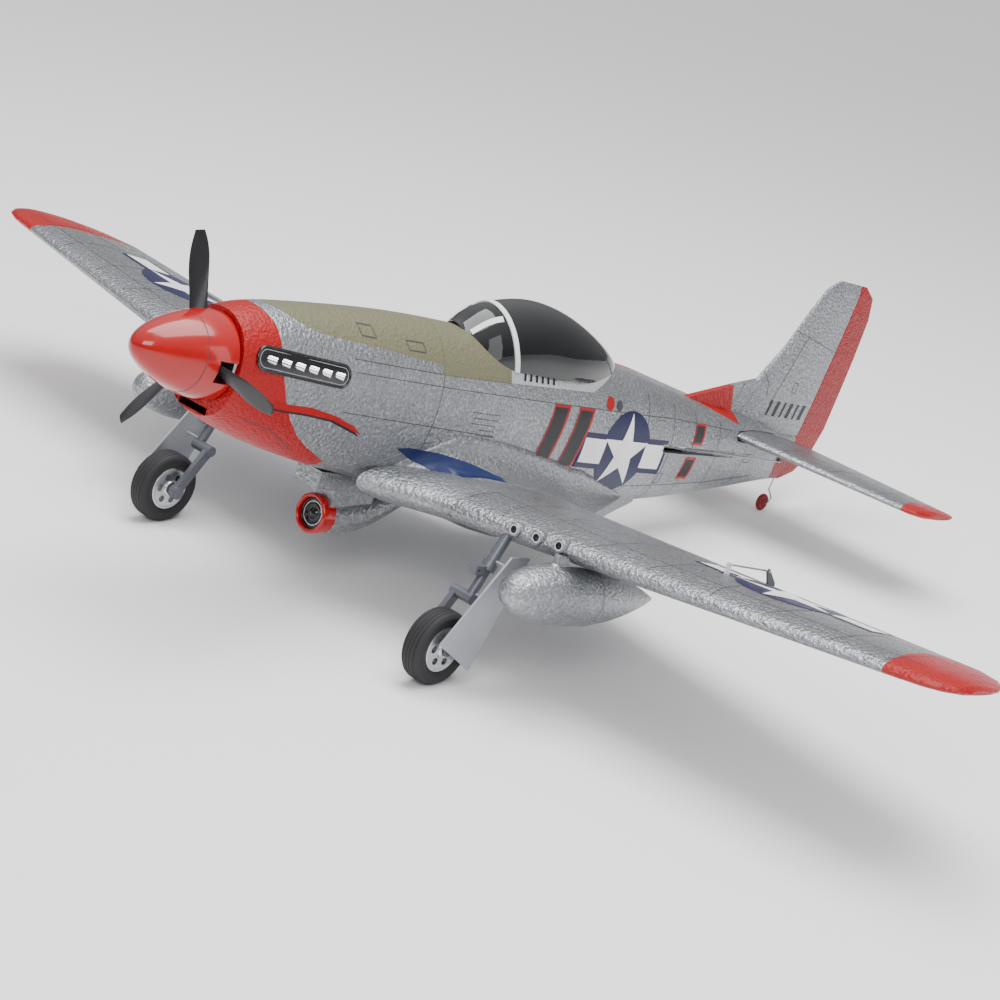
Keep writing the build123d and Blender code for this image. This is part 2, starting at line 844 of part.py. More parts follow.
frame_magnets = magnets(-MAGNET_THICK - 0.2, -0.2)
hatch_magnets = magnets(HATCH_GAP + 0.2, HATCH_GAP + 0.2 + MAGNET_THICK)
rudder_socket = rudder_line.region(CUT_GAP, 20)
MOTOR_BORE_R = 23.0
CHIN_DUCT = block((-17, 17), (60, 106), (-46.5, -40.5))
ELEVATOR_WIRE_SLOT = block((21.5, 38), (690, 838), (-20.5, -13.5))
RUDDER_WIRE_SLOT = block((-36, -14.5), (764, 1000), (-29.5, -20.5))
RUDDER_HORN_SLOT = block((-16, -5), (958, 1000), (-29.5, -20.5))

fuselage_shell = cut_all(
    hull,
    [
        hollow,
        wing_saddle(SADDLE_LIFT),
        hatch_zone,
        panel_space,
        mirrored(panel_space),
        stab_slot,
        rod((0, 60, 0), (0, 118, 0), MOTOR_BORE_R),
        CHIN_DUCT,
        wire_clearance,
        rudder_socket,
        ELEVATOR_WIRE_SLOT,
        RUDDER_WIRE_SLOT,
        RUDDER_HORN_SLOT,
        *magnets(-MAGNET_THICK - 0.2, 1.0),
    ],
)
fuselage_left = split(fuselage_shell, bisect_by=Plane.YZ, keep=Keep.TOP)
fuselage_right = split(fuselage_shell, bisect_by=Plane.YZ, keep=Keep.BOTTOM)

vertical_fin = cut_all(
    (tail.part + dorsal.part) & block((-20, 20), (700, 1100), (10, 200)),
    [rudder_socket, hull, stab_slot, *rudder_lugs],
)
fuselage_left = cut_all(fuselage_left, rudder_lugs)
fuselage_right = cut_all(fuselage_right, rudder_lugs)

# ---- hatch and canopy --------------------------------------------------------------------------
CANOPY_BASE = 36.0
CANOPY_SHELL = 1.5
# distance aft, half width, top height
CANOPY_STATIONS = [
    (364, 20.0, 64.0),
    (382, 29.0, 75.0),
    (401, 34.5, 86.0),
    (421, 37.0, 91.5),
    (450, 38.0, 96.0),
    (485, 37.5, 95.0),
    (521, 35.5, 88.5),
    (560, 29.0, 76.5),
    (593, 19.0, 62.5),
    (610, 9.0, 52.0),
]


def bubble(grow):
    """The canopy's outside, grown outward by grow."""
    with BuildPart() as shape:
        for y, width, top in CANOPY_STATIONS:
            height = top - CANOPY_BASE + grow
            arc = [
                ((width + grow) * cos(radians(step * 22.5)), height * sin(radians(step * 22.5)))
                for step in range(9)
            ]
            with BuildSketch(Plane(origin=(0, y, CANOPY_BASE), x_dir=(1, 0, 0), z_dir=(0, -1, 0))):
                with BuildLine():
                    bow = Spline(arc)
                    Line(bow @ 1, bow @ 0)
                make_face()
        loft()
    return shape.part


hatch_base = cut_all(
    hull & hatch_room,
    [hollow] + magnets(-1.0, HATCH_GAP + 0.2 + MAGNET_THICK),
)
glass_outside = bubble(0)
canopy = cut_all(glass_outside & hatch_room, [bubble(-CANOPY_SHELL), hull])
ARCH_LEAN = side_prism([(398, 100), (404, 100), (430, 30), (424, 30)], -60, 60)
windshield_frame = cut_all(bubble(1.2) & ARCH_LEAN, [glass_outside, hull])

# ---- power group -------------------------------------------------------------------------------
MOUNT_Y = 124.0
STATOR_FRONT_Y = 104.0
STATOR_R = 14.5
BELL_FRONT_Y = 98.0
BELL_REAR_Y = 121.0
BELL_WALL = 2.0
HUB_R = 11.0
SHAFT_TIP_Y = 54.0
NUT_R = 5.0
BACKPLATE_Y = 79.0
BACKPLATE_R = 35.9
SPINNER_WALL = 1.5
# blade stations: radius, chord, thickness, pitch angle
BLADE_SECTIONS = [(8, 10, 6.0, 50), (25, 14, 4.0, 45), (60, 17, 2.6, 25), (PROP_R, 9, 1.4, 15)]
SPINNER_PROFILE = [(0.0, 0.0), (4.0, 8.5), (14.0, 17.0), (30.0, 25.5), (50.0, 32.5), (68.0, 36.6)]


def across(y):
    """Plane square to the thrust line, looking aft."""
    return Plane(origin=(0, y, 0), x_dir=(1, 0, 0), z_dir=(0, 1, 0))


def disc(y_from, y_to, radius, bore=0.0):
    return rod((0, y_from, 0), (0, y_to, 0), radius, bore)


firewall = hollow & block((-60, 60), (FIREWALL_Y - 2, FIREWALL_Y + 4), (-80, 60))
with BuildPart() as stator:
    add(disc(STATOR_FRONT_Y, MOUNT_Y, STATOR_R, SHAFT_R + RUNNING_GAP))
    add(disc(MOUNT_Y, FIREWALL_Y - 2, 20, SHAFT_R + RUNNING_GAP))
    with BuildSketch(across(STATOR_FRONT_Y)):
        with PolarLocations(STATOR_R - 1.6, 12):
            Circle(1.3)
    extrude(amount=MOUNT_Y - STATOR_FRONT_Y - 2, mode=Mode.SUBTRACT)
with BuildPart() as motor_bell:
    add(disc(BELL_FRONT_Y, BELL_REAR_Y, BELL_R, BELL_R - BELL_WALL))
    add(disc(BELL_FRONT_Y, BELL_FRONT_Y + 3, BELL_R))
    add(disc(SHAFT_TIP_Y, MOUNT_Y, SHAFT_R))

with BuildPart() as blade:
    for radius, chord, thick, pitch in BLADE_SECTIONS:
        with BuildSketch(Plane(origin=(radius, PROP_Y, 0), x_dir=(0, 0, 1), z_dir=(1, 0, 0))):
            Ellipse(chord / 2, thick / 2, rotation=pitch)
    loft()
blades = [
    blade.part.rotate(Axis.Y, FIRST_BLADE_DEG + number * 360 / BLADE_COUNT)
    for number in range(BLADE_COUNT)
]
with BuildPart() as propeller:
    add(disc(63, BACKPLATE_Y, HUB_R))
    for one in blades:
        add(one)
    add(disc(60, 82, SHAFT_R), mode=Mode.SUBTRACT)
with BuildPart() as backplate:
    add(disc(BACKPLATE_Y, SPINNER_END_Y, BACKPLATE_R, SHAFT_R))
    add(disc(58, 63, NUT_R, SHAFT_R))


def spinner_shape(inset):
    """The spinner's outside moved inward by inset, as a solid of revolution."""
    profile = [(max(r - inset, 0), y + inset * (1 if y < 60 else 0)) for y, r in SPINNER_PROFILE]
    profile[0] = (0, inset * 1.6)
    with BuildPart() as shape:
        with BuildSketch(Plane.XY):
            with BuildLine():
                curve = Spline(profile + [(SPINNER_R - inset, SPINNER_END_Y)])
                Polyline(curve @ 1, (0, SPINNER_END_Y), curve @ 0)
            make_face()
        revolve(axis=Axis.Y)
    return shape.part


def blade_gate(number):
    """Slot in the spinner's edge for one blade."""
    with BuildPart() as gate:
        with Locations((35, 73, 0)):
            Box(20, 18, 19)
    return gate.part.rotate(Axis.Y, FIRST_BLADE_DEG + number * 360 / BLADE_COUNT)


spinner = cut_all(
    spinner_shape(0), [spinner_shape(SPINNER_WALL)] + [blade_gate(n) for n in range(BLADE_COUNT)]
)

# ---- landing gear ------------------------------------------------------------------------------
COLLAR_R = 7.0
ARM_THICK = 5.0
ARM_WIDTH = 9.0
BOSS_R = 6.0
AXLE_INNER_X = 161.0
AXLE_OUTER_X = 195.0
DOOR_X = 198.5
DOOR_THICK = 2.2
DOOR = [(294, -84), (318, -84), (288, -187), (241, -165)]
HUB_RIM_R = 20.0
HUB_WIDTH = 18.0
leg_top = Vector(*LEG_TOP)


def on_leg(share):
    return tuple(leg_top + leg_way * share)


def bar(start, end, width, thick, x):
    """A flat bar in side view between two (y, z) points, centred on x."""
    way = Vector(end[0] - start[0], end[1] - start[1])
    side = Plane(origin=(x - thick / 2, 0, 0), x_dir=(0, 1, 0), z_dir=(1, 0, 0))
    with BuildPart() as part:
        with BuildSketch(side):
            with Locations(((start[0] + end[0]) / 2, (start[1] + end[1]) / 2)):
                Rectangle(way.length, width, rotation=degrees(atan2(way.Y, way.X)))
        extrude(amount=thick)
    return part.part


with BuildPart() as leg:
    add(rod(LEG_TOP, on_leg(0.55), LEG_R))
    add(rod(on_leg(0.5), LEG_FOOT, STRUT_R))
    add(rod(on_leg(0.52), on_leg(0.62), COLLAR_R))
    add(block((174, 182), (277, 290), (-108, -100)))
    add(rod((183, LEG_FOOT[1], LEG_FOOT[2]), (159, LEG_FOOT[1], LEG_FOOT[2]), 5.0))
    add(bar((LEG_FOOT[1], LEG_FOOT[2]), (WHEEL_Y, WHEEL_Z), ARM_WIDTH, ARM_THICK, ARM_X))
    add(rod((159, WHEEL_Y, WHEEL_Z), (167.5, WHEEL_Y, WHEEL_Z), BOSS_R))
    add(rod((AXLE_INNER_X, WHEEL_Y, WHEEL_Z), (AXLE_OUTER_X, WHEEL_Y, WHEEL_Z), AXLE_R))
    add(rod((193, WHEEL_Y, WHEEL_Z), (AXLE_OUTER_X + 0.5, WHEEL_Y, WHEEL_Z), 4.0))
    add(rod((170, 281, -104), (190, 281, -104), 1.3), mode=Mode.SUBTRACT)
with BuildPart() as door:
    add(side_prism(DOOR, DOOR_X, DOOR_X + DOOR_THICK))
    for z in (-95.0, -125.0):
        share = (z - LEG_TOP[2]) / leg_way.Z
        add(rod(on_leg(share), (DOOR_X + 1, on_leg(share)[1], z), 1.5))
    add(leg.part, mode=Mode.SUBTRACT)
    add(rod(LEG_TOP, LEG_FOOT, LEG_R), mode=Mode.SUBTRACT)


def wheel_ring(x, inner, outer, width, rounding):
    """A ring about the axle with rounded outer corners."""
    with BuildPart() as ring:
        with BuildSketch(Plane(origin=(x, WHEEL_Y, WHEEL_Z), x_dir=(1, 0, 0), z_dir=(0, 0, 1))):
            with BuildLine():
                FilletPolyline(
                    (-width / 2, inner),
                    (-width / 2, outer),
                    (width / 2, outer),
                    (width / 2, inner),
                    radius=rounding,
                )
                Line((width / 2, inner), (-width / 2, inner))
            make_face()
        revolve(axis=Axis((x, WHEEL_Y, WHEEL_Z), (1, 0, 0)))
    return ring.part


tyre = wheel_ring(WHEEL_X, HUB_RIM_R, WHEEL_R, WHEEL_WIDTH, 8.0)
with BuildPart() as hub:
    add(wheel_ring(WHEEL_X, AXLE_R + RUNNING_GAP, HUB_RIM_R, HUB_WIDTH, 1.0))
    with BuildSketch(
        Plane(origin=(WHEEL_X - HUB_WIDTH / 2, WHEEL_Y, WHEEL_Z), x_dir=(0, 1, 0), z_dir=(1, 0, 0))
    ):
        with PolarLocations(12.0, 6):
            Circle(3.2)
    extrude(amount=HUB_WIDTH, mode=Mode.SUBTRACT)
tail_wheel = rod(
    (-2.5, TAIL_WHEEL_Y, TAIL_WHEEL_Z), (2.5, TAIL_WHEEL_Y, TAIL_WHEEL_Z), TAIL_WHEEL_R,
    WIRE_R + RUNNING_GAP,
)

# ---- belly and wing stores ---------------------------------------------------------------------
both_wings = [wing_panel, mirrored(wing_panel)]
TANK_PROFILE = [
    (TANK_NOSE_Y, 3.0),
    (251, 11.0),
    (268, 19.5),
    (300, 25.5),
    (330, TANK_R),
    (370, 23.5),
    (410, 15.0),
    (438, 6.5),
    (TANK_TAIL_Y, 1.5),
]
with BuildPart() as tank:
    with BuildSketch(Plane(origin=(TANK_X, 0, TANK_Z), x_dir=(1, 0, 0), z_dir=(0, 0, 1))):
        with BuildLine():
            skin_line = Spline([(r, y) for y, r in TANK_PROFILE])
            Polyline(skin_line @ 1, (0, TANK_TAIL_Y), (0, TANK_NOSE_Y), skin_line @ 0)
        make_face()
    revolve(axis=Axis((TANK_X, 0, TANK_Z), (0, 1, 0)))
    add(block((236, 244), (300, 392), (-85, -64)))
    add(wing_panel, mode=Mode.SUBTRACT)

# camera fairing: distance aft, radius, height
POD = [(276, 18.0, -127.0), (305, 19.0, -124.0), (345, 14.0, -113.0), (384, 4.0, -104.0)]
LENS_Z = -127.0
RING_R = 18.0
RING_BORE_R = 14.3
LENS_FRONT_Y = 262.0
with BuildPart() as camera_fairing:
    for y, radius, z in POD:
        with BuildSketch(Plane(origin=(0, y, z), x_dir=(1, 0, 0), z_dir=(0, -1, 0))):
            Circle(radius)
    loft()
    add(block((-14, 14), (268, 320), (-125, -85)))
    add(block((-15, 15), (243, 300), (-100, -84)))
    for cutter in [hull] + both_wings:
        add(cutter, mode=Mode.SUBTRACT)
    add(rod((0, 260, LENS_Z), (0, 285, LENS_Z), RING_R), mode=Mode.SUBTRACT)
camera_ring = rod((0, LENS_FRONT_Y, LENS_Z), (0, 285, LENS_Z), RING_R, RING_BORE_R)
camera_lens = rod((0, LENS_FRONT_Y + 4, LENS_Z), (0, 285, LENS_Z), RING_BORE_R)

# radiator scoop: distance aft, half width, bottom
SCOOP = [
    (415, 24, -116),
    (470, 27, -128),
    (541, 28, -135),
    (600, 26, -128),
    (650, 20, -112),
    (690, 12, -96),
    (715, 8, -86),
]
SCOOP_CORNER = 0.35
SCOOP_TOP = -70.0
SCOOP_WALL = 3.0
INLET_END_Y = 520.0


def scoop_face(y, width, bottom, top):
    """An open-topped trough section with chamfered corners."""
    corner = width * SCOOP_CORNER * 1.6
    half = [(width, top), (width, bottom + corner), (width * 0.8, bottom + corner * 0.4),
            (width * 0.45, bottom)]
    outline = half + [(-x, z) for x, z in reversed(half)]
    with BuildSketch(Plane(origin=(0, y, 0), x_dir=(1, 0, 0), z_dir=(0, -1, 0))) as face:
        with BuildLine():
            Polyline(outline, close=True)
        make_face()
    return face.sketch


scoop_outside = [scoop_face(y, width, bottom, SCOOP_TOP) for y, width, bottom in SCOOP]
inlet = [
    scoop_face(410, 24 - SCOOP_WALL, -116 + SCOOP_WALL, -101),
    scoop_face(470, 27 - SCOOP_WALL, -128 + SCOOP_WALL, -101),
    scoop_face(INLET_END_Y, 20, -118, -101),
]
with BuildPart() as radiator_scoop:
    for near, far in zip(scoop_outside, scoop_outside[1:]):
        loft([near, far], ruled=True)
    for near, far in zip(inlet, inlet[1:]):
        loft([near, far], ruled=True, mode=Mode.SUBTRACT)
    for cutter in [hull] + both_wings:
        add(cutter, mode=Mode.SUBTRACT)

# ---- equipment ---------------------------------------------------------------------------------
TRAY_Z = -50.0
DECK_Z = -47.0
battery = block((-18, 18), (326, 441), (DECK_Z, DECK_Z + 28))
speed_controller = block((-14, 14), (150, 205), (DECK_Z, DECK_Z + 12))
receiver = block((-11, 11), (470, 515), (DECK_Z, DECK_Z + 13))
with BuildPart() as equipment_tray:
    add(hollow & block((-60, 60), (150, 640), (TRAY_Z, DECK_Z)))
    add(block((-4, 17), (540, 572), (TRAY_Z, -3.3)))
    add(block((-9, 9), (585, 600), (TRAY_Z, -9)))
    add(rudder_link.servo(0.1), mode=Mode.SUBTRACT)
servos = [
    port_link.servo(),
    mirrored(port_link.servo()),
    elevator_link.servo(),
    rudder_link.servo(),
]


# ---- the separate pieces -----------------------------------------------------------------------
def both(piece):
    return [piece, mirrored(piece)]


def solids_of(pieces):
    """The separate solids of a list of shapes."""
    return [solid for piece in pieces for solid in piece.solids()]


nodes = {
    "fuselage_left": [fuselage_left],
    "fuselage_right": [fuselage_right],
    "vertical_fin": [vertical_fin],
    "wing_left": [wing_left],
    "wing_right": [mirrored(wing_left)],
    "wing_spars": both(port_spar),
    "stabiliser": [stabiliser],
    "radiator_scoop": [radiator_scoop.part],
    "camera_fairing": [camera_fairing.part],
    "camera_ring": [camera_ring],
    "camera_lens": [camera_lens],
    "exhaust_panels": both(port_panel),
    "exhaust_stacks": port_stacks + [mirrored(one) for one in port_stacks],
    "gun_barrels": port_guns + [mirrored(one) for one in port_guns],
    "drop_tanks": both(tank.part),
    "firewall": [firewall],
    "motor_stator": [stator.part],
    "speed_controller": [speed_controller],
    "battery": [battery],
    "equipment_tray": [equipment_tray.part],
    "receiver": [receiver],
    "servos": servos,
    "frame_magnets": frame_magnets,
    "hinge_leaves": port_lugs
    + [mirrored(one) for one in port_lugs]
    + port_elevator_lugs
    + [mirrored(one) for one in port_elevator_lugs]
    + rudder_lugs,
    "hinge_pins": both(port_aileron.pin(0.2, port_aileron.length - 0.2, PIN_R))
    + [rudder_line.pin(STRUT_HEAD + 2, rudder_line.length - 14, PIN_R)],
    "gear_leg_left": [leg.part],
    "gear_leg_right": [mirrored(leg.part)],
    "gear_doors": both(door.part),
    "hatch_base": [hatch_base],
    "canopy": [canopy],
    "windshield_frame": [windshield_frame],
    "hatch_magnets": hatch_magnets,
    "spinner": [spinner],
    "propeller": [propeller.part],
    "spinner_backplate": [backplate.part],
    "motor_bell": [motor_bell.part],
    "aileron_left": [aileron_left],
    "aileron_right": [mirrored(aileron_left)],
    "aileron_horn_left": [port_horn],
    "aileron_horn_right": [mirrored(port_horn)],
    "aileron_arm_left": [port_link.arm()],
    "aileron_arm_right": [mirrored(port_link.arm())],
    "aileron_rod_left": [port_link.wire()],
    "aileron_rod_right": [mirrored(port_link.wire())],
    "elevator": [elevator],
    "elevator_joiner": [elevator_joiner],
    "elevator_horn": [elevator_horn],
    "elevator_arm": [elevator_link.arm()],
    "elevator_rod": [elevator_link.wire()],
    "rudder": [rudder],
    "rudder_horn": [rudder_horn],
    "tail_strut": [tail_strut],
    "rudder_arm": [rudder_link.arm()],
    "rudder_rod": [rudder_link.wire()],
    "tyre_left": [tyre],
    "tyre_right": [mirrored(tyre)],
    "hub_left": [hub.part],
    "hub_right": [mirrored(hub.part)],
    "tail_wheel": [tail_wheel],
}

# ---- into the ground attitude ------------------------------------------------------------------
nose_up = Rot(-GROUND_ANGLE, 0, 0)
standing = {name: [nose_up * solid for solid in solids_of(pieces)] for name, pieces in nodes.items()}
extent = Compound([solid for solids in standing.values() for solid in solids]).bounding_box()
to_origin = Pos(
    -(extent.min.X + extent.max.X) / 2, -(extent.min.Y + extent.max.Y) / 2, -extent.min.Z
)

os.makedirs("parts", exist_ok=True)
for name, solids in standing.items():
    placed = [to_origin * solid for solid in solids]
    piece = placed[0] if len(placed) == 1 else Compound(placed)
    piece.label = name
    export_step(piece, "parts/" + name + ".step")
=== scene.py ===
import json
import math

import bmesh
import bpy
from mathutils import Matrix, Vector
from mathutils.bvhtree import BVHTree


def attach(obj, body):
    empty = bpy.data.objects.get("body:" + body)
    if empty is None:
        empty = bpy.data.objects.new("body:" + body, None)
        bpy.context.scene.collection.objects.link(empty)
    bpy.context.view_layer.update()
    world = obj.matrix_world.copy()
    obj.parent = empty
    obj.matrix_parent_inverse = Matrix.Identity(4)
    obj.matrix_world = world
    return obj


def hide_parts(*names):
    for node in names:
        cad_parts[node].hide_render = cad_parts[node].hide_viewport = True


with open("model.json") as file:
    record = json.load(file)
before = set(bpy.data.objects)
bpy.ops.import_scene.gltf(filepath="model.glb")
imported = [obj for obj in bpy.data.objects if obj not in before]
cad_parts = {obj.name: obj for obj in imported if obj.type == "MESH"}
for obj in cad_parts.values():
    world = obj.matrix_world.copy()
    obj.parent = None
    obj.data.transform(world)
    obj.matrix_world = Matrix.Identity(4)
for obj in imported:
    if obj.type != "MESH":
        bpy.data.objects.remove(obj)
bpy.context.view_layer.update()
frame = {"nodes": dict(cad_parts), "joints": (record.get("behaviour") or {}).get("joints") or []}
NODES = frame["nodes"]
JOINTS = {joint["name"]: joint for joint in frame["joints"]}

# ---- the level frame ---------------------------------------------------------------------------
# Pieces are laid out in millimetres as the airplane flies: +X port, -Y forward, +Z up, the origin
# at the spinner's tip. LEVEL takes that into the row's frame, where it stands on its wheels.
lift = Vector(JOINTS["hatch_lift"]["axis"])
PITCH = math.atan2(lift.y, lift.z)
TURN = Matrix.Rotation(-PITCH, 4, "X")
WHEEL = Vector((181.0, 260.5, -173.0))
SHIFT = Vector(JOINTS["wheel_left_spin"]["pos_m"]) - TURN @ (WHEEL / 1000)
LEVEL = Matrix.Translation(SHIFT) @ TURN @ Matrix.Scale(0.001, 4)
UNLEVEL = LEVEL.inverted()

# ---- camera ------------------------------------------------------------------------------------
AZIMUTH = math.radians(37.363)
ELEVATION = math.radians(10.909)
ROLL = math.radians(19.506)
EYE = Vector((1370.669, -1281.518, 336.982))
back = Vector(
    (
        math.sin(AZIMUTH) * math.cos(ELEVATION),
        -math.cos(AZIMUTH) * math.cos(ELEVATION),
        math.sin(ELEVATION),
    )
)
level_right = (-back).cross(Vector((0, 0, 1))).normalized()
level_up = level_right.cross(-back)
right = level_right * math.cos(ROLL) + level_up * math.sin(ROLL)
up = level_up * math.cos(ROLL) - level_right * math.sin(ROLL)
camera_data = bpy.data.cameras.new("camera")
camera_data.sensor_width = 36
camera_data.lens = 86.76
camera_data.clip_end = 50
camera = bpy.data.objects.new("camera", camera_data)
bpy.context.scene.collection.objects.link(camera)
axes = Matrix([right, up, back]).transposed().to_4x4()
camera.matrix_world = Matrix.Translation(LEVEL @ EYE) @ TURN @ axes
bpy.context.scene.camera = camera

# ---- studio ------------------------------------------------------------------------------------
world = bpy.data.worlds.new("studio")
bpy.context.scene.world = world
world.use_nodes = True
sky = world.node_tree
sky.nodes.clear()
sky_out = sky.nodes.new("ShaderNodeOutputWorld")
sky_light = sky.nodes.new("ShaderNodeBackground")
sky_ramp = sky.nodes.new("ShaderNodeValToRGB")
sky_split = sky.nodes.new("ShaderNodeSeparateXYZ")
sky_place = sky.nodes.new("ShaderNodeTexCoord")
sky.links.new(sky_place.outputs["Generated"], sky_split.inputs[0])
sky.links.new(sky_split.outputs["Z"], sky_ramp.inputs[0])
sky.links.new(sky_ramp.outputs[0], sky_light.inputs[0])
sky.links.new(sky_light.outputs[0], sky_out.inputs[0])
sky_light.inputs[1].default_value = 1.0
sky_ramp.color_ramp.elements.new(0.4)
for stop, grey, band in zip((0.0, 0.28, 0.8), (0.20, 0.40, 1.15), sky_ramp.color_ramp.elements):
    band.position = stop
    band.color = (grey, grey, grey * 1.02, 1)


def area_light(name, place, aim, size, power):
    data = bpy.data.lights.new(name, "AREA")
    data.shape = "RECTANGLE"
    data.size, data.size_y = size
    data.energy = power
    lamp = bpy.data.objects.new(name, data)
    bpy.context.scene.collection.objects.link(lamp)
    lamp.location = place
    way = Vector(aim) - Vector(place)
    lamp.rotation_euler = way.to_track_quat("-Z", "Y").to_euler()
    return lamp


area_light("softbox_top", (0.1, 0.0, 2.3), (0, 0, 0.2), (1.5, 2.2), 74)
area_light("softbox_front", (1.3, -2.0, 1.5), (0.1, -0.2, 0.2), (1.2, 0.9), 24)
area_light("softbox_side", (2.4, 0.8, 0.9), (0, 0.1, 0.2), (0.8, 1.6), 9)


# ---- materials ---------------------------------------------------------------------------------
def plug(tree, socket, item):
    """Sets an input to a number, a colour or another node's output."""
    if isinstance(item, Field):
        tree.links.new(item.source, socket)
    else:
        socket.default_value = item


class Field:
    """A number in a material's node tree, with arithmetic."""

    def __init__(self, tree, source):
        self.tree = tree
        self.source = source

    def math(self, kind, *others, clamp=False):
        node = self.tree.nodes.new("ShaderNodeMath")
        node.operation = kind
        node.use_clamp = clamp
        for socket, item in zip(node.inputs, (self, *others)):
            plug(self.tree, socket, item)
        return Field(self.tree, node.outputs[0])

    def __add__(self, other):
        return self.math("ADD", other)

    def __sub__(self, other):
        return self.math("SUBTRACT", other)

    def __mul__(self, other):
        return self.math("MULTIPLY", other)

    def over(self, other):
        return self.math("GREATER_THAN", other)

    def under(self, other):
        return self.math("LESS_THAN", other)

    def both(self, other):
        return self.math("MINIMUM", other)

    def size(self):
        return self.math("ABSOLUTE")

    def ramp(self, low, high, to_low=0.0, to_high=1.0):
        node = self.tree.nodes.new("ShaderNodeMapRange")
        for socket, item in zip(node.inputs, (self, low, high, to_low, to_high)):
            plug(self.tree, socket, item)
        return Field(self.tree, node.outputs[0])


class Paint:
    """A principled material whose fields are in the level frame's millimetres."""

    def __init__(self, name, colour, rough=0.5, metallic=0.0, **inputs):
        self.material = bpy.data.materials.new(name)
        self.material.use_nodes = True
        self.tree = self.material.node_tree
        self.shader = self.tree.nodes["Principled BSDF"]
        place = self.tree.nodes.new("ShaderNodeTexCoord")
        level = self.tree.nodes.new("ShaderNodeMapping")
        level.inputs["Scale"].default_value = (1000, 1000, 1000)
        level.inputs["Rotation"].default_value = (PITCH, 0, 0)
        level.inputs["Location"].default_value = -1000 * (TURN.inverted() @ SHIFT)
        self.tree.links.new(place.outputs["Object"], level.inputs[0])
        self.place = level.outputs[0]
        split = self.tree.nodes.new("ShaderNodeSeparateXYZ")
        self.tree.links.new(self.place, split.inputs[0])
        self.x, self.y, self.z = [Field(self.tree, socket) for socket in split.outputs]
        self.colour = self.plain(colour)
        self.rough = self.number(rough)
        self.metallic = self.number(metallic)
        self.height = None
        self.shader.inputs["Specular IOR Level"].default_value = 0.32
        for key, value in inputs.items():
            self.shader.inputs[key.replace("_", " ")].default_value = value

    def number(self, value):
        node = self.tree.nodes.new("ShaderNodeValue")
        node.outputs[0].default_value = value
        return Field(self.tree, node.outputs[0])

    def plain(self, colour):
        node = self.tree.nodes.new("ShaderNodeRGB")
        node.outputs[0].default_value = (*colour, 1)
        return Field(self.tree, node.outputs[0])

    def blend(self, share, first, second):
        node = self.tree.nodes.new("ShaderNodeMix")
        node.data_type = "RGBA"
        plug(self.tree, node.inputs[0], share)
        plug(self.tree, node.inputs[6], first)
        plug(self.tree, node.inputs[7], second)
        return Field(self.tree, node.outputs[2])

    def noise(self, size, detail=3.0, stretch=(1, 1, 1)):
        node = self.tree.nodes.new("ShaderNodeTexNoise")
        node.inputs["Scale"].default_value = 1 / size
        node.inputs["Detail"].default_value = detail
        self.tree.links.new(self.stretched(stretch), node.inputs["Vector"])
        return Field(self.tree, node.outputs[0])

    def beads(self, size):
        node = self.tree.nodes.new("ShaderNodeTexVoronoi")
        node.feature = "SMOOTH_F1"
        node.inputs["Scale"].default_value = 1 / size
        self.tree.links.new(self.place, node.inputs["Vector"])
        return Field(self.tree, node.outputs["Distance"])

    def stretched(self, stretch):
        if stretch == (1, 1, 1):
            return self.place
        node = self.tree.nodes.new("ShaderNodeMapping")
        node.inputs["Scale"].default_value = stretch
        self.tree.links.new(self.place, node.inputs[0])
        return node.outputs[0]

    def curve(self, field, points):
        """A number that follows (place, value) points as field goes along them."""
        low, high = points[0][0], points[-1][0]
        least = min(value for _, value in points)
        most = max(value for _, value in points)
        node = self.tree.nodes.new("ShaderNodeFloatCurve")
        line = node.mapping.curves[0]
        while len(line.points) < len(points):
            line.points.new(0.5, 0.5)
        for dot, (place, value) in zip(line.points, points):
            dot.location = ((place - low) / (high - low), (value - least) / (most - least))
            dot.handle_type = "VECTOR"
        node.mapping.update()
        plug(self.tree, node.inputs["Value"], field.ramp(low, high))
        return Field(self.tree, node.outputs[0]).ramp(0.0, 1.0, least, most)

    def cover(self, mask, colour, rough=None, metallic=None):
        """Paints a colour, and if given a finish, where mask is one."""
        self.colour = self.blend(mask, self.colour, self.plain(colour))
        if rough is not None:
            self.rough = self.rough + (mask * (self.number(rough) - self.rough))
        if metallic is not None:
            self.metallic = self.metallic + (mask * (self.number(metallic) - self.metallic))

    def shade(self, field, low, high):
        """Multiplies the colour by a grey that follows field from 0 to 1."""
        grey = field.ramp(0.0, 1.0, low, high)
        node = self.tree.nodes.new("ShaderNodeMix")
        node.data_type = "RGBA"
        node.blend_type = "MULTIPLY"
        node.inputs[0].default_value = 1
        plug(self.tree, node.inputs[6], self.colour)
        self.tree.links.new(grey.source, node.inputs[7])
        self.colour = Field(self.tree, node.outputs[2])

    def bump(self, field, depth):
        """Adds a relief, depth in millimetres."""
        step = field * depth
        self.height = step if self.height is None else self.height + step

    def done(self):
        plug(self.tree, self.shader.inputs["Base Color"], self.colour)
        plug(self.tree, self.shader.inputs["Roughness"], self.rough)
        plug(self.tree, self.shader.inputs["Metallic"], self.metallic)
        if self.height is not None:
            node = self.tree.nodes.new("ShaderNodeBump")
            node.inputs["Distance"].default_value = 0.001
            plug(self.tree, node.inputs["Height"], self.height)
            self.tree.links.new(node.outputs[0], self.shader.inputs["Normal"])
        return self.material


SILVER = (0.33, 0.34, 0.36)
RED = (0.33, 0.0006, 0.001)
OLIVE = (0.15, 0.145, 0.085)
NAVY = (0.004, 0.006, 0.050)


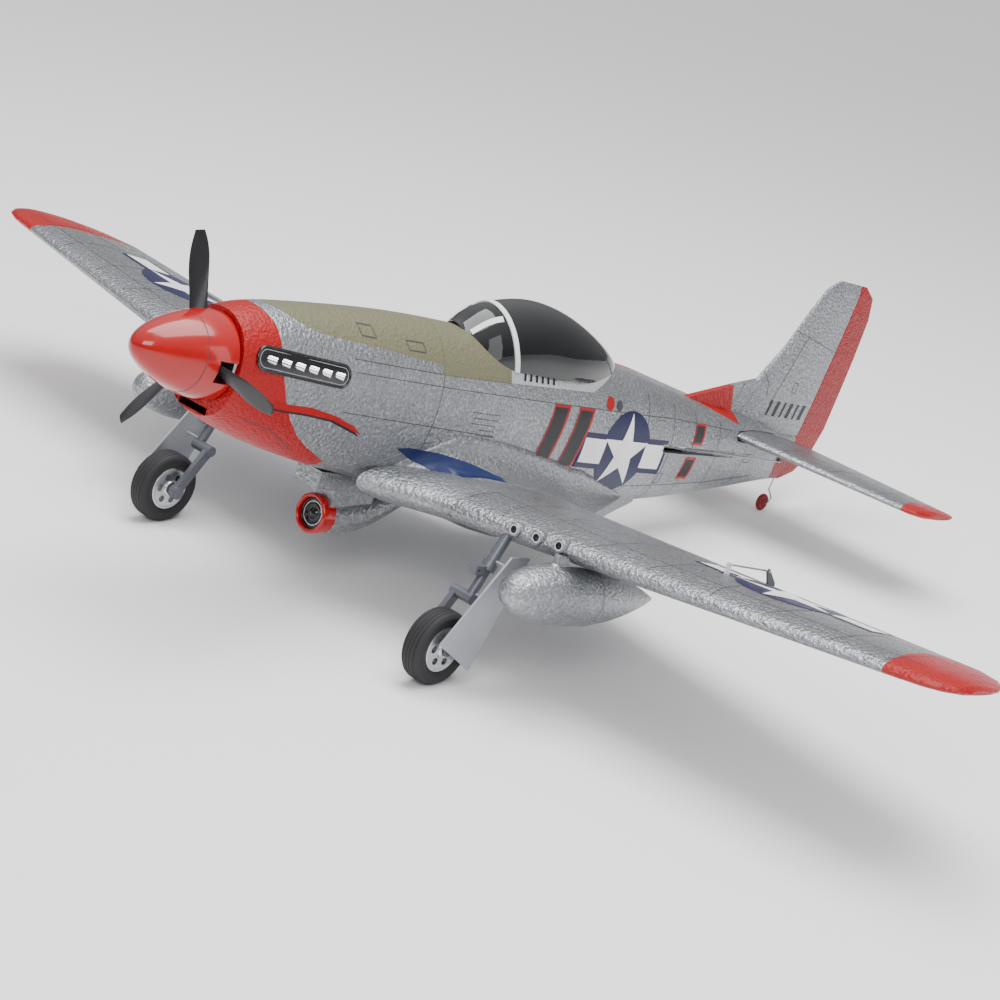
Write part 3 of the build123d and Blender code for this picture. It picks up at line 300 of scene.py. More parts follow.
def foam(name, colour=SILVER, metallic=0.85, rough=0.36):
    """Painted bead foam: shallow round beads with fine orange peel over them, and painted highlight specks
    lightened into the colour.
    """
    paint = Paint(name, colour, rough, metallic)
    beads = paint.beads(3.2)
    peel = paint.noise(1.8, 4.0)
    patch = paint.noise(38.0, 2.0)
    # painted highlight: small specks where the colour is lightened, standing in for glints of light on the
    # beads
    painted_glint = paint.noise(2.6, 5.0).ramp(0.50, 0.66)
    paint.shade(beads, 0.82, 1.08)
    paint.shade(patch, 0.86, 1.10)
    paint.shade(painted_glint, 0.90, 1.38)
    paint.rough = paint.rough + (peel - 0.5) * 0.28
    paint.bump(beads, -0.95)
    paint.bump(peel, 0.85)
    return paint


def red_zone(paint, mask):
    paint.cover(mask, RED, 0.33, 0.0)


fuselage = foam("foam_fuselage")
nose_edge = fuselage.curve(
    fuselage.z,
    [
        (-70, 222), (-57, 189), (-47, 170), (-33, 153), (-17, 140), (0, 131), (20, 124), (40, 119),
        (52, 110), (62, 96),
    ],
)
deck_edge = fuselage.curve(
    fuselage.y,
    [(90, 62), (100, 58), (127, 51), (150, 43.5), (168, 39.8), (232, 37.5), (321, 32), (420, 26.5)],
)
olive_zone = fuselage.z.over(deck_edge).both(fuselage.y.under(417)).both(fuselage.y.over(90))
fuselage.cover(olive_zone, OLIVE, 0.42, 0.0)
red_zone(fuselage, fuselage.y.under(nose_edge))
stern = (fuselage.y + fuselage.z * 0.25).over(936).both(fuselage.z.under(-16))
red_zone(fuselage, stern)
spine = (fuselage.z + fuselage.y * 0.213).over(192.9).both(fuselage.y.over(751.8))
red_zone(fuselage, spine.both((fuselage.y + fuselage.z * 0.42).under(844.4)))
foam_fuselage = fuselage.done()

hatch = foam("foam_hatch")
hatch.cover(hatch.y.over(417.5), (0.52, 0.54, 0.56), 0.30, 0.55)
hatch.cover(hatch.y.under(417.5), OLIVE, 0.42, 0.0)
foam_hatch = hatch.done()

wing = foam("foam_wing", rough=0.30)
tip_edge = wing.curve(wing.y, [(300, 543), (340, 538), (400, 530), (440, 533), (480, 541), (520, 550)])
red_zone(wing, wing.x.size().over(tip_edge))
foam_wing = wing.done()

tail = foam("foam_tail", rough=0.33)
stab_edge = tail.curve(tail.y, [(840, 222), (870, 214), (905, 206), (935, 207), (975, 214)])
red_zone(tail, tail.x.size().over(stab_edge))
foam_tail = tail.done()

fin = foam("foam_fin")
red_zone(fin, (fin.y + fin.z * 0.42).under(844.4))
foam_fin = fin.done()

foam_red = foam("foam_red", RED, 0.0, 0.36).done()
foam_silver = foam("foam_silver").done()


def moulding(name, colour, rough, metallic=0.0, grain=0.04, size=0.8, **inputs):
    """Moulded plastic or paint: a fine grain, faint mottling and slightly uneven gloss."""
    paint = Paint(name, colour, rough, metallic, **inputs)
    grains = paint.noise(size, 4.0)
    patch = paint.noise(22.0, 3.0)
    paint.shade(patch, 0.86, 1.12)
    paint.rough = paint.rough + (patch - 0.5) * 0.14
    paint.bump(grains, grain)
    return paint.done()


def turned(name, colour, rough, stretch):
    """Machined or drawn metal with fine marks along one way."""
    paint = Paint(name, colour, rough, 1.0)
    marks = paint.noise(0.7, 5.0, stretch)
    paint.shade(marks, 0.78, 1.1)
    paint.rough = paint.rough + (marks - 0.5) * 0.25
    paint.bump(marks, 0.02)
    return paint.done()


gloss_red = moulding("gloss_red", (0.36, 0.0006, 0.001), 0.20, grain=0.012, Coat_Weight=0.5)
gloss_black = moulding("gloss_black", (0.012, 0.012, 0.014), 0.16, grain=0.012, Coat_Weight=0.6)
blade_black = moulding("blade_black", (0.018, 0.018, 0.02), 0.34, grain=0.03)
soft_grey = moulding("soft_grey", (0.085, 0.09, 0.10), 0.45)
pale_grey = moulding("pale_grey", (0.30, 0.32, 0.34), 0.42)
strut_grey = moulding("strut_grey", (0.13, 0.14, 0.16), 0.36, 0.35)
bright_grey = moulding("bright_grey", (0.42, 0.44, 0.47), 0.34, 0.5)
soft_white = moulding("soft_white", (0.80, 0.81, 0.82), 0.35)
canopy_dark = moulding("canopy_dark", (0.008, 0.009, 0.010), 0.07, grain=0.0, Coat_Weight=0.5)
lens_dark = moulding("lens_dark", (0.004, 0.004, 0.007), 0.12, grain=0.0, Coat_Weight=0.2)
chrome = turned("chrome", (0.86, 0.86, 0.87), 0.10, (1, 6, 1))
alloy = turned("alloy", (0.66, 0.67, 0.69), 0.30, (1, 8, 8))
steel = turned("steel", (0.50, 0.50, 0.52), 0.28, (6, 1, 6))
rubber = moulding("rubber", (0.022, 0.022, 0.024), 0.62, grain=0.08, size=0.6)
red_rubber = moulding("red_rubber", (0.22, 0.012, 0.014), 0.55, grain=0.06)
carbon = moulding("carbon", (0.02, 0.02, 0.022), 0.35)
wrap_blue = moulding("wrap_blue", (0.02, 0.05, 0.20), 0.25)
ink_navy = moulding("ink_navy", NAVY, 0.36, grain=0.08, size=1.1)
ink_white = moulding("ink_white", (0.82, 0.82, 0.83), 0.38, grain=0.08, size=1.1)
black_ink_and_shade = moulding("black_ink_and_shade", (0.012, 0.012, 0.014), 0.42, grain=0.08, size=1.1)
ink_red = moulding("ink_red", (0.34, 0.001, 0.002), 0.38, grain=0.08, size=1.1)
ink_line = moulding("ink_line", (0.045, 0.047, 0.052), 0.5, grain=0.05, size=1.1)
ink_rib = moulding("ink_rib", (0.30, 0.004, 0.006), 0.4, grain=0.05, size=1.1)
ink_blue = moulding("ink_blue", (0.006, 0.015, 0.08), 0.36, grain=0.08, size=1.1)

ply = Paint("ply", (0.55, 0.40, 0.23), 0.6)
rings = ply.noise(5.0, 5.0, (1, 0.08, 1))
ply.shade(rings, 0.7, 1.15)
ply.bump(rings, 0.05)
ply = ply.done()

FINISHES = {
    foam_fuselage: ["fuselage_left", "fuselage_right"],
    foam_hatch: ["hatch_base"],
    foam_wing: ["wing_left", "wing_right", "aileron_left", "aileron_right"],
    foam_tail: ["stabiliser", "elevator"],
    foam_fin: ["vertical_fin"],
    foam_red: ["rudder"],
    foam_silver: ["radiator_scoop", "camera_fairing", "drop_tanks"],
    gloss_red: ["spinner", "camera_ring"],
    gloss_black: ["exhaust_panels", "speed_controller"],
    blade_black: ["propeller"],
    canopy_dark: ["canopy"],
    lens_dark: ["camera_lens"],
    soft_white: ["windshield_frame", "hinge_leaves", "aileron_arm_left", "aileron_arm_right",
                 "elevator_arm", "rudder_arm"],
    chrome: ["exhaust_stacks", "gun_barrels"],
    alloy: ["spinner_backplate", "hub_left", "hub_right"],
    steel: ["hinge_pins", "elevator_joiner", "elevator_rod", "rudder_rod", "aileron_rod_left",
            "aileron_rod_right", "tail_strut", "frame_magnets", "hatch_magnets"],
    strut_grey: ["motor_stator", "motor_bell", "gear_leg_left", "gear_leg_right"],
    soft_grey: ["aileron_horn_left", "aileron_horn_right", "elevator_horn", "rudder_horn",
                "servos", "receiver"],
    bright_grey: ["gear_doors"],
    rubber: ["tyre_left", "tyre_right"],
    red_rubber: ["tail_wheel"],
    carbon: ["wing_spars"],
    wrap_blue: ["battery"],
    ply: ["firewall", "equipment_tray"],
}
for finish, names in FINISHES.items():
    for name in names:
        data = NODES[name].data
        data.materials.clear()
        data.materials.append(finish)
        for polygon in data.polygons:
            polygon.material_index = 0


# ---- making pieces -----------------------------------------------------------------------------
def piece(name, points, faces, finish, body, slot, smooth=True):
    """A mesh piece from level-frame points."""
    data = bpy.data.meshes.new(name)
    data.from_pydata([LEVEL @ Vector(p) for p in points], [], faces)
    data.validate()
    shape = bmesh.new()
    shape.from_mesh(data)
    bmesh.ops.recalc_face_normals(shape, faces=shape.faces[:])
    shape.to_mesh(data)
    shape.free()
    data.materials.append(finish)
    if smooth:
        data.shade_smooth()
    made = bpy.data.objects.new(name, data)
    bpy.context.scene.collection.objects.link(made)
    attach(made, body)
    return made


def skin(rings, closed=True):
    """Points and quads between rings that have the same number of points."""
    count = len(rings[0])
    points = [p for ring in rings for p in ring]
    faces = []
    for row in range(len(rings) - 1):
        for k in range(count if closed else count - 1):
            a, b = row * count + k, row * count + (k + 1) % count
            faces.append((a, b, b + count, a + count))
    return points, faces


def lathe(name, profile, centre, axis, finish, body, slot, steps=64):
    """A piece turned about an axis from (distance along, radius) points."""
    axis = Vector(axis).normalized()
    side = axis.orthogonal().normalized()
    other = axis.cross(side)
    rings = []
    for along, radius in profile:
        middle = Vector(centre) + axis * along
        rings.append(
            [
                middle + (side * math.cos(t) + other * math.sin(t)) * max(radius, 0.01)
                for t in (2 * math.pi * k / steps for k in range(steps))
            ]
        )
    return piece(name, *skin(rings), finish, body, slot)


def tube(name, path, radius, finish, body, slot, closed=False, sides=10):
    """A round bead along level-frame points."""
    rings = []
    count = len(path)
    for k, p in enumerate(path):
        before = path[(k - 1) % count] if closed or k > 0 else p
        after = path[(k + 1) % count] if closed or k < count - 1 else p
        way = (Vector(after) - Vector(before)).normalized()
        side = way.orthogonal().normalized()
        if rings:
            side = (last - way * last.dot(way)).normalized()
        last = side
        other = way.cross(side)
        rings.append(
            [
                Vector(p) + (side * math.cos(t) + other * math.sin(t)) * radius
                for t in (2 * math.pi * j / sides for j in range(sides))
            ]
        )
    if closed:
        rings.append(rings[0])
    points, faces = skin(rings)
    return piece(name, points, faces, finish, body, slot)


class Surface:
    """The outside of some CAD nodes, to lay markings on."""

    def __init__(self, *names):
        points, faces = [], []
        for name in names:
            data = bpy.data.objects[name].data
            start = len(points)
            points += [UNLEVEL @ vertex.co for vertex in data.vertices]
            faces += [[start + k for k in polygon.vertices] for polygon in data.polygons]
        self.tree = BVHTree.FromPolygons(points, faces)

    def drop(self, start, way, height):
        """The first point that a ray meets, raised by height off the surface."""
        hit, normal, _, _ = self.tree.ray_cast(Vector(start), Vector(way))
        if hit is None:
            return None
        if normal.dot(Vector(way)) > 0:
            normal = -normal
        return hit + normal * height


def from_side(sign):
    """Lays (distance aft, height) outlines on the port (1) or starboard (-1) side."""
    return lambda surface, u, v, height: surface.drop((sign * 400, u, v), (-sign, 0, 0), height)


def from_top(surface, u, v, height):
    """Lays (distance out, distance aft) outlines from above."""
    return surface.drop((u, v, 400), (0, 0, -1), height)


def from_below(surface, u, v, height):
    return surface.drop((u, v, -400), (0, 0, 1), height)


def unbroken(corners, longest):
    """Whether every corner landed on the skin, none of them down in an opening."""
    if None in corners:
        return False
    return all((a - b).length < longest for a, b in zip(corners, corners[1:] + corners[:1]))


def marking(name, outlines, surface, lay, height, finish, body, slot, clips=(), longest=9.0):
    """Flat outlines cut into small cells and laid on a surface, height off it."""
    step = 3.0
    shape = bmesh.new()
    for outline in outlines:
        shape.faces.new([shape.verts.new((u, v, 0)) for u, v in outline])
    for axis in (0, 1):
        values = [vertex.co[axis] for vertex in shape.verts]
        normal = [0, 0, 0]
        normal[axis] = 1
        cut = math.ceil(min(values) / step)
        while cut * step < max(values):
            place = [0, 0, 0]
            place[axis] = cut * step
            everything = shape.verts[:] + shape.edges[:] + shape.faces[:]
            bmesh.ops.bisect_plane(shape, geom=everything, plane_co=place, plane_no=normal)
            cut += 1
    for place, normal in clips:
        everything = shape.verts[:] + shape.edges[:] + shape.faces[:]
        bmesh.ops.bisect_plane(
            shape,
            geom=everything,
            plane_co=(*place, 0),
            plane_no=(*normal, 0),
            clear_outer=True,
        )
    bmesh.ops.triangulate(shape, faces=shape.faces[:])
    points = [lay(surface, vertex.co.x, vertex.co.y, height) for vertex in shape.verts]
    shape.verts.index_update()
    faces = [[vertex.index for vertex in face.verts] for face in shape.faces]
    shape.free()
    faces = [face for face in faces if unbroken([points[k] for k in face], longest)]
    used = sorted({k for face in faces for k in face})
    place = {k: n for n, k in enumerate(used)}
    return piece(
        name, [points[k] for k in used], [[place[k] for k in face] for face in faces],
        finish, body, slot,
    )


def stroke(points, width, step=3.0):
    """The outline pieces of a line of some width: one quad per short run."""
    dense = [Vector(points[0])]
    for a, b in zip(points, points[1:]):
        a, b = Vector(a), Vector(b)
        parts = max(1, math.ceil((b - a).length / step))
        dense += [a.lerp(b, (k + 1) / parts) for k in range(parts)]
    sides = []
    for k, p in enumerate(dense):
        way = (dense[min(k + 1, len(dense) - 1)] - dense[max(k - 1, 0)]).normalized()
        off = Vector((-way.y, way.x)) * width / 2
        sides.append((p + off, p - off))
    return [
        [tuple(a[0]), tuple(a[1]), tuple(b[1]), tuple(b[0])] for a, b in zip(sides, sides[1:])
    ]


def disc(u, v, radius, steps=48):
    return [
        (u + radius * math.cos(2 * math.pi * k / steps), v + radius * math.sin(2 * math.pi * k / steps))
        for k in range(steps)
    ]


def star(u, v, radius, turn=0.0):
    """A five-pointed star with one point towards +v, turned by turn degrees."""
    spots = []
    for k in range(10):
        reach = radius if k % 2 == 0 else radius * 0.382
        angle = math.radians(90 + 36 * k + turn)
        spots.append((u + reach * math.cos(angle), v + reach * math.sin(angle)))
    return spots


def slab(u, v, length, height, lean=0.0):
    """A rectangle, its top moved by lean."""
    return [
        (u - length / 2, v - height / 2),
        (u + length / 2, v - height / 2),
        (u + length / 2 + lean, v + height / 2),
        (u - length / 2 + lean, v + height / 2),
    ]


fuselage_skin = Surface("fuselage_left", "fuselage_right")
hatch_skin = Surface("hatch_base")
canopy_skin = Surface("canopy")
fin_skin = Surface("vertical_fin")
rudder_skin = Surface("rudder")
stab_skin = Surface("stabiliser")
wing_skins = {1: Surface("wing_left"), -1: Surface("wing_right")}
aileron_skins = {1: Surface("aileron_left"), -1: Surface("aileron_right")}
SIDE_NAMES = {1: "left", -1: "right"}

# ---- insignia and marks on the fuselage --------------------------------------------------------
LINE = 0.7
# rings of panel line: distance aft, top and bottom height
SPINE_RINGS = [
    (322, 48, -62), (648, 40, -84), (700, 34, -78), (745, 28, -72), (798, 22, -62), (862, 14, -50)
]
# rows of stencil dots: distance aft and length
STENCIL_ROWS = [(372, 44), (376, 40), (374, 36), (388, 24), (384, 28), (370, 34), (368, 36)]
for sign, side in SIDE_NAMES.items():
    lay = from_side(sign)

    def mark(name, outlines, height, finish, surface=fuselage_skin, body="airframe"):
        marking(name + "_" + side, outlines, surface, lay, height, finish, body, "silver_foam")

    mark("insignia_field", [slab(619, -26, 152, 36)], 0.22, ink_navy)
    mark("insignia_disc", [disc(619, -25, 42)], 0.28, ink_navy)
    mark("insignia_white", [slab(566, -26, 36, 25), slab(672, -26, 36, 25)], 0.34, ink_white)
    mark("insignia_star", [star(619, -25, 40)], 0.40, ink_white)
    bars = [(488, -16, 25, 60), (528, -16, 25, 60), (753, 1, 21, 22), (746, -35, 21, 24)]
    mark("code_edge", [slab(u, v, w, h, h / 5) for u, v, w, h in bars], 0.24, ink_red)
    mark("code_bar", [slab(u, v, w - 5, h - 5, (h - 5) / 5) for u, v, w, h in bars], 0.30, black_ink_and_shade)
    tally = [slab(437 + 9 * k, 33, 3.4, 6.5, 1.5) for k in range(6)]
    mark("tally", tally, 0.3, black_ink_and_shade, hatch_skin, "hatch")
    mark("disc_red", [disc(577, 21, 6.5, 24)], 0.3, ink_red)
    mark("disc_dark", [disc(593, 20, 5.0, 24)], 0.3, ink_line)
    swoosh = [(112, -25), (140, -21), (170, -21), (200, -25), (226, -32), (238, -39), (218, -34), (198, -29),
              (168, -27), (140, -27)]
    mark("swoosh_edge", [[(u, v - 1.2) for u, v in swoosh]], 0.24, black_ink_and_shade)
    mark("swoosh", [[(u + 1.5, v + 0.6) for u, v in swoosh]], 0.32, ink_red)
    for row, (u, length) in enumerate(STENCIL_ROWS):
        dots = [slab(u + 4.5 * k, -4 - 5.2 * row, 3.0, 0.8, 0.3) for k in range(int(length / 4.5))]
        mark("stencil_" + str(row), dots, 0.24, ink_line)
    lines = []
    for y, high, low in SPINE_RINGS:
        lines += stroke([(y, high - 6), (y + 1, (high + low) / 2), (y - 3, low)], LINE)
    lines += stroke([(212, 15), (330, 14), (556, 14.5), (700, 14), (826, 8)], LINE)
    lines += stroke([(207, 25.5), (318, 24.5)], LINE)
    lines += stroke([(206, -20), (300, -22), (410, -24)], LINE)
    lines += stroke([(560, -62), (648, -60), (800, -50), (900, -39)], LINE)
    lines += stroke([(108, -40), (140, -46), (176, -62)], LINE)
    for u, v, w, h in [(700, -48, 11, 11), (872, -20, 12, 9), (340, -48, 16, 12)]:
        frame_line = slab(u, v, w, h, 2)
        lines += stroke(frame_line + frame_line[:1], LINE)
    mark("panel_lines", lines, 0.16, ink_line)
    rivets = [disc(150 + 9 * k, 30 - 0.05 * k, 0.55, 6) for k in range(18)]
    rivets += [disc(212 + 12 * k, 11, 0.55, 6) for k in range(50)]
    rivets += [disc(150 + 9 * k, -8, 0.55, 6) for k in range(10)]
    mark("rivets", rivets, 0.18, ink_line)
    hatches = []
    for u, v, w, h in [(226, 48, 17, 8), (286, 43, 22, 7)]:
        frame_line = slab(u, v, w, h, -3)
        hatches += stroke(frame_line + frame_line[:1], 0.9)
    mark("cowl_panels", hatches, 0.2, ink_line)
    wire_fin = stroke([(905, 122), (985, 108)], LINE) + stroke([(868, 76), (880, 62), (884, 48)], LINE)
    wire_fin += stroke([(925, 120), (915, 95), (893, 40)], LINE)
    wire_fin += stroke([(842, 58), (836, 40)], LINE)
    hatch_line = slab(930, 62, 8, 11, 2)
    wire_fin += stroke(hatch_line + hatch_line[:1], LINE)
    mark("fin_lines", wire_fin, 0.18, ink_line, fin_skin)
    ticks = [slab(893 + 13.5 * k, 36, 6.0 if k % 2 else 3.6, 17, 4) for k in range(6)]
    mark("fin_ticks", ticks, 0.26, black_ink_and_shade, fin_skin)
    ribs = []
    for k in range(9):
        z = 18 + 18 * k
        ribs += stroke([(978 + z * 0.143, z), (1026, z - 2)], 1.3)
    marking("rudder_ribs_" + side, ribs, rudder_skin, lay, 0.2, ink_rib, "rudder_body", "red_foam")

# ---- insignia and lines on the wings -----------------------------------------------------------
HINGE_SLOPE = -0.11714


def hinge_y(x):
    """Distance aft of the aileron's hinge line."""
    return 463.73 + HINGE_SLOPE * (x - 328)


for sign, side in SIDE_NAMES.items():
    ahead = ((sign * 328, hinge_y(328) - 7.0), (-HINGE_SLOPE * sign, 1))
    behind = ((sign * 328, hinge_y(328) + 1.0), (HINGE_SLOPE * sign, -1))
    shapes = {
        "wing_field": ([slab(sign * 392, 418, 178, 42)], 0.26, ink_navy),
        "wing_disc": ([disc(sign * 392, 418, 50)], 0.32, ink_navy),
        "wing_white": ([slab(sign * x, 418, 40, 29) for x in (325, 459)], 0.38, ink_white),
        "wing_star": ([star(sign * 392, 418, 48, 180)], 0.44, ink_white),
    }
    for name, (outlines, height, finish) in shapes.items():
        marking(
            name + "_" + side, outlines, wing_skins[sign], from_top, height, finish,
            "airframe", "silver_foam", clips=[ahead],
        )
        if name in ("wing_disc", "wing_star"):
            marking(
                name + "_aft_" + side, outlines, aileron_skins[sign], from_top, height, finish,
                "aileron_" + side + "_body", "silver_foam", clips=[behind],
            )
    lines = stroke([(sign * 62, 446), (sign * 300, 424), (sign * 586, 396)], LINE)
    lines += stroke([(sign * 60, 352), (sign * 300, 344), (sign * 560, 352)], LINE)
    for x, bow in [(102, 9), (158, -8), (262, 9), (318, 6), (372, -6), (432, 6), (492, 5), (540, 4)]:
        front = 299 + 0.0632 * (x - 50)
        rear = 446 - (x - 62) * 0.096
        lines += stroke(
            [(sign * (x - bow), front), (sign * (x - bow * 0.2), front + 18), (sign * x, front + 48),
             (sign * x, rear)],
            LINE,
        )
    for x, stop in [(190, 526), (262, 513), (322, 504)]:
        lines += stroke([(sign * x, 446 - (x - 62) * 0.096), (sign * x, stop)], LINE)
    lines += stroke([(sign * 62, 500), (sign * 190, 484), (sign * 322, 468)], LINE)
    for u, v, w, h in [(214, 380, 38, 30), (286, 472, 20, 12), (140, 398, 26, 18)]:
        frame_line = slab(sign * u, v, w, h, 1)
        lines += stroke(frame_line + frame_line[:1], LINE)
    marking(
        "wing_lines_" + side, lines, wing_skins[sign], from_top, 0.16, ink_line, "airframe", "silver_foam"
    )
    dots = [disc(sign * (70 + 11 * k), 441 - 0.096 * (8 + 11 * k), 0.55, 6) for k in range(46)]
    marking(
        "wing_rivets_" + side, dots, wing_skins[sign], from_top, 0.18, ink_line, "airframe", "silver_foam"
    )
    below = stroke([(sign * 70, 430), (sign * 560, 400)], LINE)
    for x in (110, 160, 262, 340, 420, 500):
        below += stroke([(sign * x, 306 + 0.0632 * (x - 50)), (sign * x, 520 - 0.168 * (x - 50) - 8)], LINE)
    marking(
        "wing_lines_below_" + side, below, wing_skins[sign], from_below, 0.16, ink_line,
        "airframe", "silver_foam", clips=[ahead],
    )
    stab_lines = stroke([(sign * 24, 878), (sign * 214, 893)], LINE)
    for x in (70, 128, 186):
        stab_lines += stroke([(sign * x, 842 + 0.111 * x), (sign * x, 918)], LINE)
    marking(
        "stab_lines_" + side, stab_lines, stab_skin, from_top, 0.16, ink_line, "airframe", "silver_foam"
    )


# ---- wing root glove and fillet ----------------------------------------------------------------
def half_thick(s):
    """Half thickness of a unit wing section at a fraction of its chord."""
    return 5 * (0.2969 * math.sqrt(s) - 0.126 * s - 0.3516 * s**2 + 0.2843 * s**3 - 0.1015 * s**4)


def wing_shape(x):
    """Leading edge, trailing edge, height and thickness ratio of the wing at x."""
    out = max(x - 50, 0)
    return 292.4 + 0.0632 * out, 553.8 - 0.168 * out, -81 + 0.1044 * out, 0.145 - 0.04 * out / 550


GLOVE_END = 118.0
GLOVE_REACH = 30.0
for sign, side in SIDE_NAMES.items():
    rings = []
    for k in range(15):
        x = 38 + (GLOVE_END - 38) * k / 14
        front, rear, z, ratio = wing_shape(x)
        reach = GLOVE_REACH * ((GLOVE_END - x) / (GLOVE_END - 38)) ** 1.7
        nose = front - reach
        chord = rear - front
        full = rear - nose
        ring = []
        for s in (0.62, 0.5, 0.4, 0.3, 0.22, 0.15, 0.09, 0.05, 0.025, 0.01, 0.003):
            ring.append((s, 1))
        ring.append((0.0, 0))
        ring += [(s, -1) for s, _ in reversed(ring[:-1])]
        points = []
        for s, face in ring:
            thick = ratio * chord * half_thick(s) * (1.05 - 0.09 * s) + s * 0.8
            camber = 0.06 * s * (1 - s) * chord
            points.append((sign * x, nose + s * full, z + camber + face * thick))
        rings.append(points)
    piece("wing_root_glove_" + side, *skin(rings, closed=False), foam_silver, "airframe", "silver_foam")

    rings = []
    for k in range(45):
        y = 300 + 8.2 * k
        grow = min(1.0, (y - 296) / 70)
        fade = 1.0 if y < 560 else max(0.0, (661 - y) / 101)
        size = 8 + 24 * grow
        top = wing_skins[sign].drop((sign * 54, min(y, 548), 0), (0, 0, -1), 0)
        rise = 0 if y < 548 else (y - 548) * 0.05
        corner_z = top.z + rise
        wall = fuselage_skin.drop((sign * 400, y, corner_z + size * 0.5 * fade), (-sign, 0, 0), 0)
        foot = abs(wall.x) + size * 1.15 * fade
        high = fuselage_skin.drop((sign * 400, y, corner_z + size * fade), (-sign, 0, 0), 0.15)
        corner = Vector((wall.x, y, corner_z))
        if y < 545:
            low = wing_skins[sign].drop((sign * foot, y, 0), (0, 0, -1), 0.2)
        else:
            low = Vector((sign * foot, y, corner_z - 0.5))
        ring = []
        for step in range(11):
            t = step / 10
            ring.append(high * (1 - t) ** 2 + corner * 2 * t * (1 - t) + low * t**2)
        ring.append(Vector((low.x - sign * 0.8, y, low.z - 2.4 * max(fade, 0.2))))
        ring.append(Vector((sign * (abs(wall.x) - 6), y, corner_z - 4)))
        rings.append(ring)
    points, faces = skin(rings)
    piece("wing_root_fillet_" + side, points, faces, foam_silver, "airframe", "silver_foam")
    patch = [(290, -46.5), (305, -44.5), (345, -45.5), (376, -48.5), (416, -56), (395, -60), (346, -61.5),
             (315, -56)]
    root_skins = Surface("wing_root_fillet_" + side, "fuselage_" + side)
    marking(
        "root_patch_" + side, [patch], root_skins, from_side(sign), 0.35, ink_blue, "airframe",
        "silver_foam", longest=40.0,
    )

# ---- belly scoop -------------------------------------------------------------------------------
SCOOP = [(415, 24, -116), (440, 25.5, -121.5), (470, 27, -128), (505, 28, -133), (541, 28, -134.5),
         (572, 27.5, -132.5), (600, 26, -128), (625, 23.5, -121), (650, 20, -112), (672, 16, -103),
         (690, 12, -96), (704, 9.5, -91), (713, 8, -87)]


def trough(y, width, bottom, top=-78.0):
    """Open-topped rounded section, from port edge down and round to the other."""
    middle = bottom + 0.62 * (top - bottom)
    points = [(width, y, top)]
    for k in range(25):
        t = math.pi * k / 24
        across = math.copysign(abs(math.cos(t)) ** 0.8, math.cos(t))
        points.append((width * across, y, middle - (middle - bottom) * math.sin(t) ** 0.8))
    points.append((-width, y, top))
    return points


outside = [trough(*station) for station in reversed(SCOOP)]
THROAT = [(415, 20.8, -112.8), (432, 20.5, -113.5), (468, 20.0, -114.0), (486, 19, -112)]
inside = [trough(*station) for station in THROAT]
scoop = piece("scoop_skin", *skin(outside, closed=False), foam_silver, "airframe", "silver_foam")
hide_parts("radiator_scoop")
rim = [trough(415 - 2.2 * math.sin(t), 22.4 + 1.9 * math.cos(t), -114.4 - 1.9 * math.cos(t))
       for t in (math.pi * k / 8 for k in range(9))]
piece("scoop_lip", *skin(rim, closed=False), foam_red, "airframe", "red_foam")
# The scoop's throat and back wall are black: painted shade standing in for the dark inside of the scoop.
piece("scoop_throat", *skin(inside, closed=False), black_ink_and_shade, "airframe", "black_plastic")
piece(
    "scoop_back",
    [(19.5, 484, -78), (-19.5, 484, -78), (-19.5, 484, -113), (19.5, 484, -113)],
    [(0, 1, 2, 3)],
    black_ink_and_shade,
    "airframe",
    "black_plastic",
)

# ---- wheels ------------------------------------------------------------------------------------
# profiles: distance along the axle, radius
TREAD = [
    (-8.8, 20.05), (-9.6, 21.5), (-10.6, 23.5), (-10.9, 25.5), (-10.5, 27.2), (-10.8, 27.7),
    (-10.3, 29.2), (-9.2, 31.0), (-7.6, 32.3), (-6.2, 32.75), (-5.9, 31.7), (-5.1, 31.7),
    (-4.8, 32.9), (-2.4, 33.0), (-2.1, 31.8), (-1.3, 31.8), (-1.0, 33.0),
]
PROFILE = TREAD + [(-a, r) for a, r in reversed(TREAD)]
RIM = [(9.05, 19.9), (9.35, 19.2), (9.3, 18.2), (9.05, 17.6)]
CAP = [(9.02, 7.6), (10.6, 7.4), (11.4, 6.6), (11.6, 4.4)]
for sign, side in SIDE_NAMES.items():
    hub_centre = (sign * WHEEL.x, WHEEL.y, WHEEL.z)
    wheel_body = "wheel_" + side
    tyre = lathe("tyre_tread_" + side, PROFILE, hub_centre, (1, 0, 0), rubber, wheel_body, "tyre_rubber", 96)
    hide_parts("tyre_" + side)
    for face, way in (("outer", 1), ("inner", -1)):
        for name, profile, steps in (("rim_", RIM, 72), ("hub_cap_", CAP, 48)):
            lathe(
                name + face + "_" + side, profile, hub_centre, (way, 0, 0), alloy, wheel_body,
                "silver_metal", steps,
            )

TAIL = [
    (-2.45, 0.95), (-2.45, 3.2), (-1.6, 3.4), (-1.6, 5.6), (-2.3, 5.9), (-2.5, 7.2), (-2.1, 8.6),
    (-1.0, 9.4), (1.0, 9.4), (2.1, 8.6), (2.5, 7.2), (2.3, 5.9), (1.6, 5.6), (1.6, 3.4),
    (2.45, 3.2), (2.45, 0.95),
]
small = lathe("tail_tyre", TAIL, (0, 961, -71), (1, 0, 0), red_rubber, "tail_wheel_body", "red_rubber", 48)
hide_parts("tail_wheel")

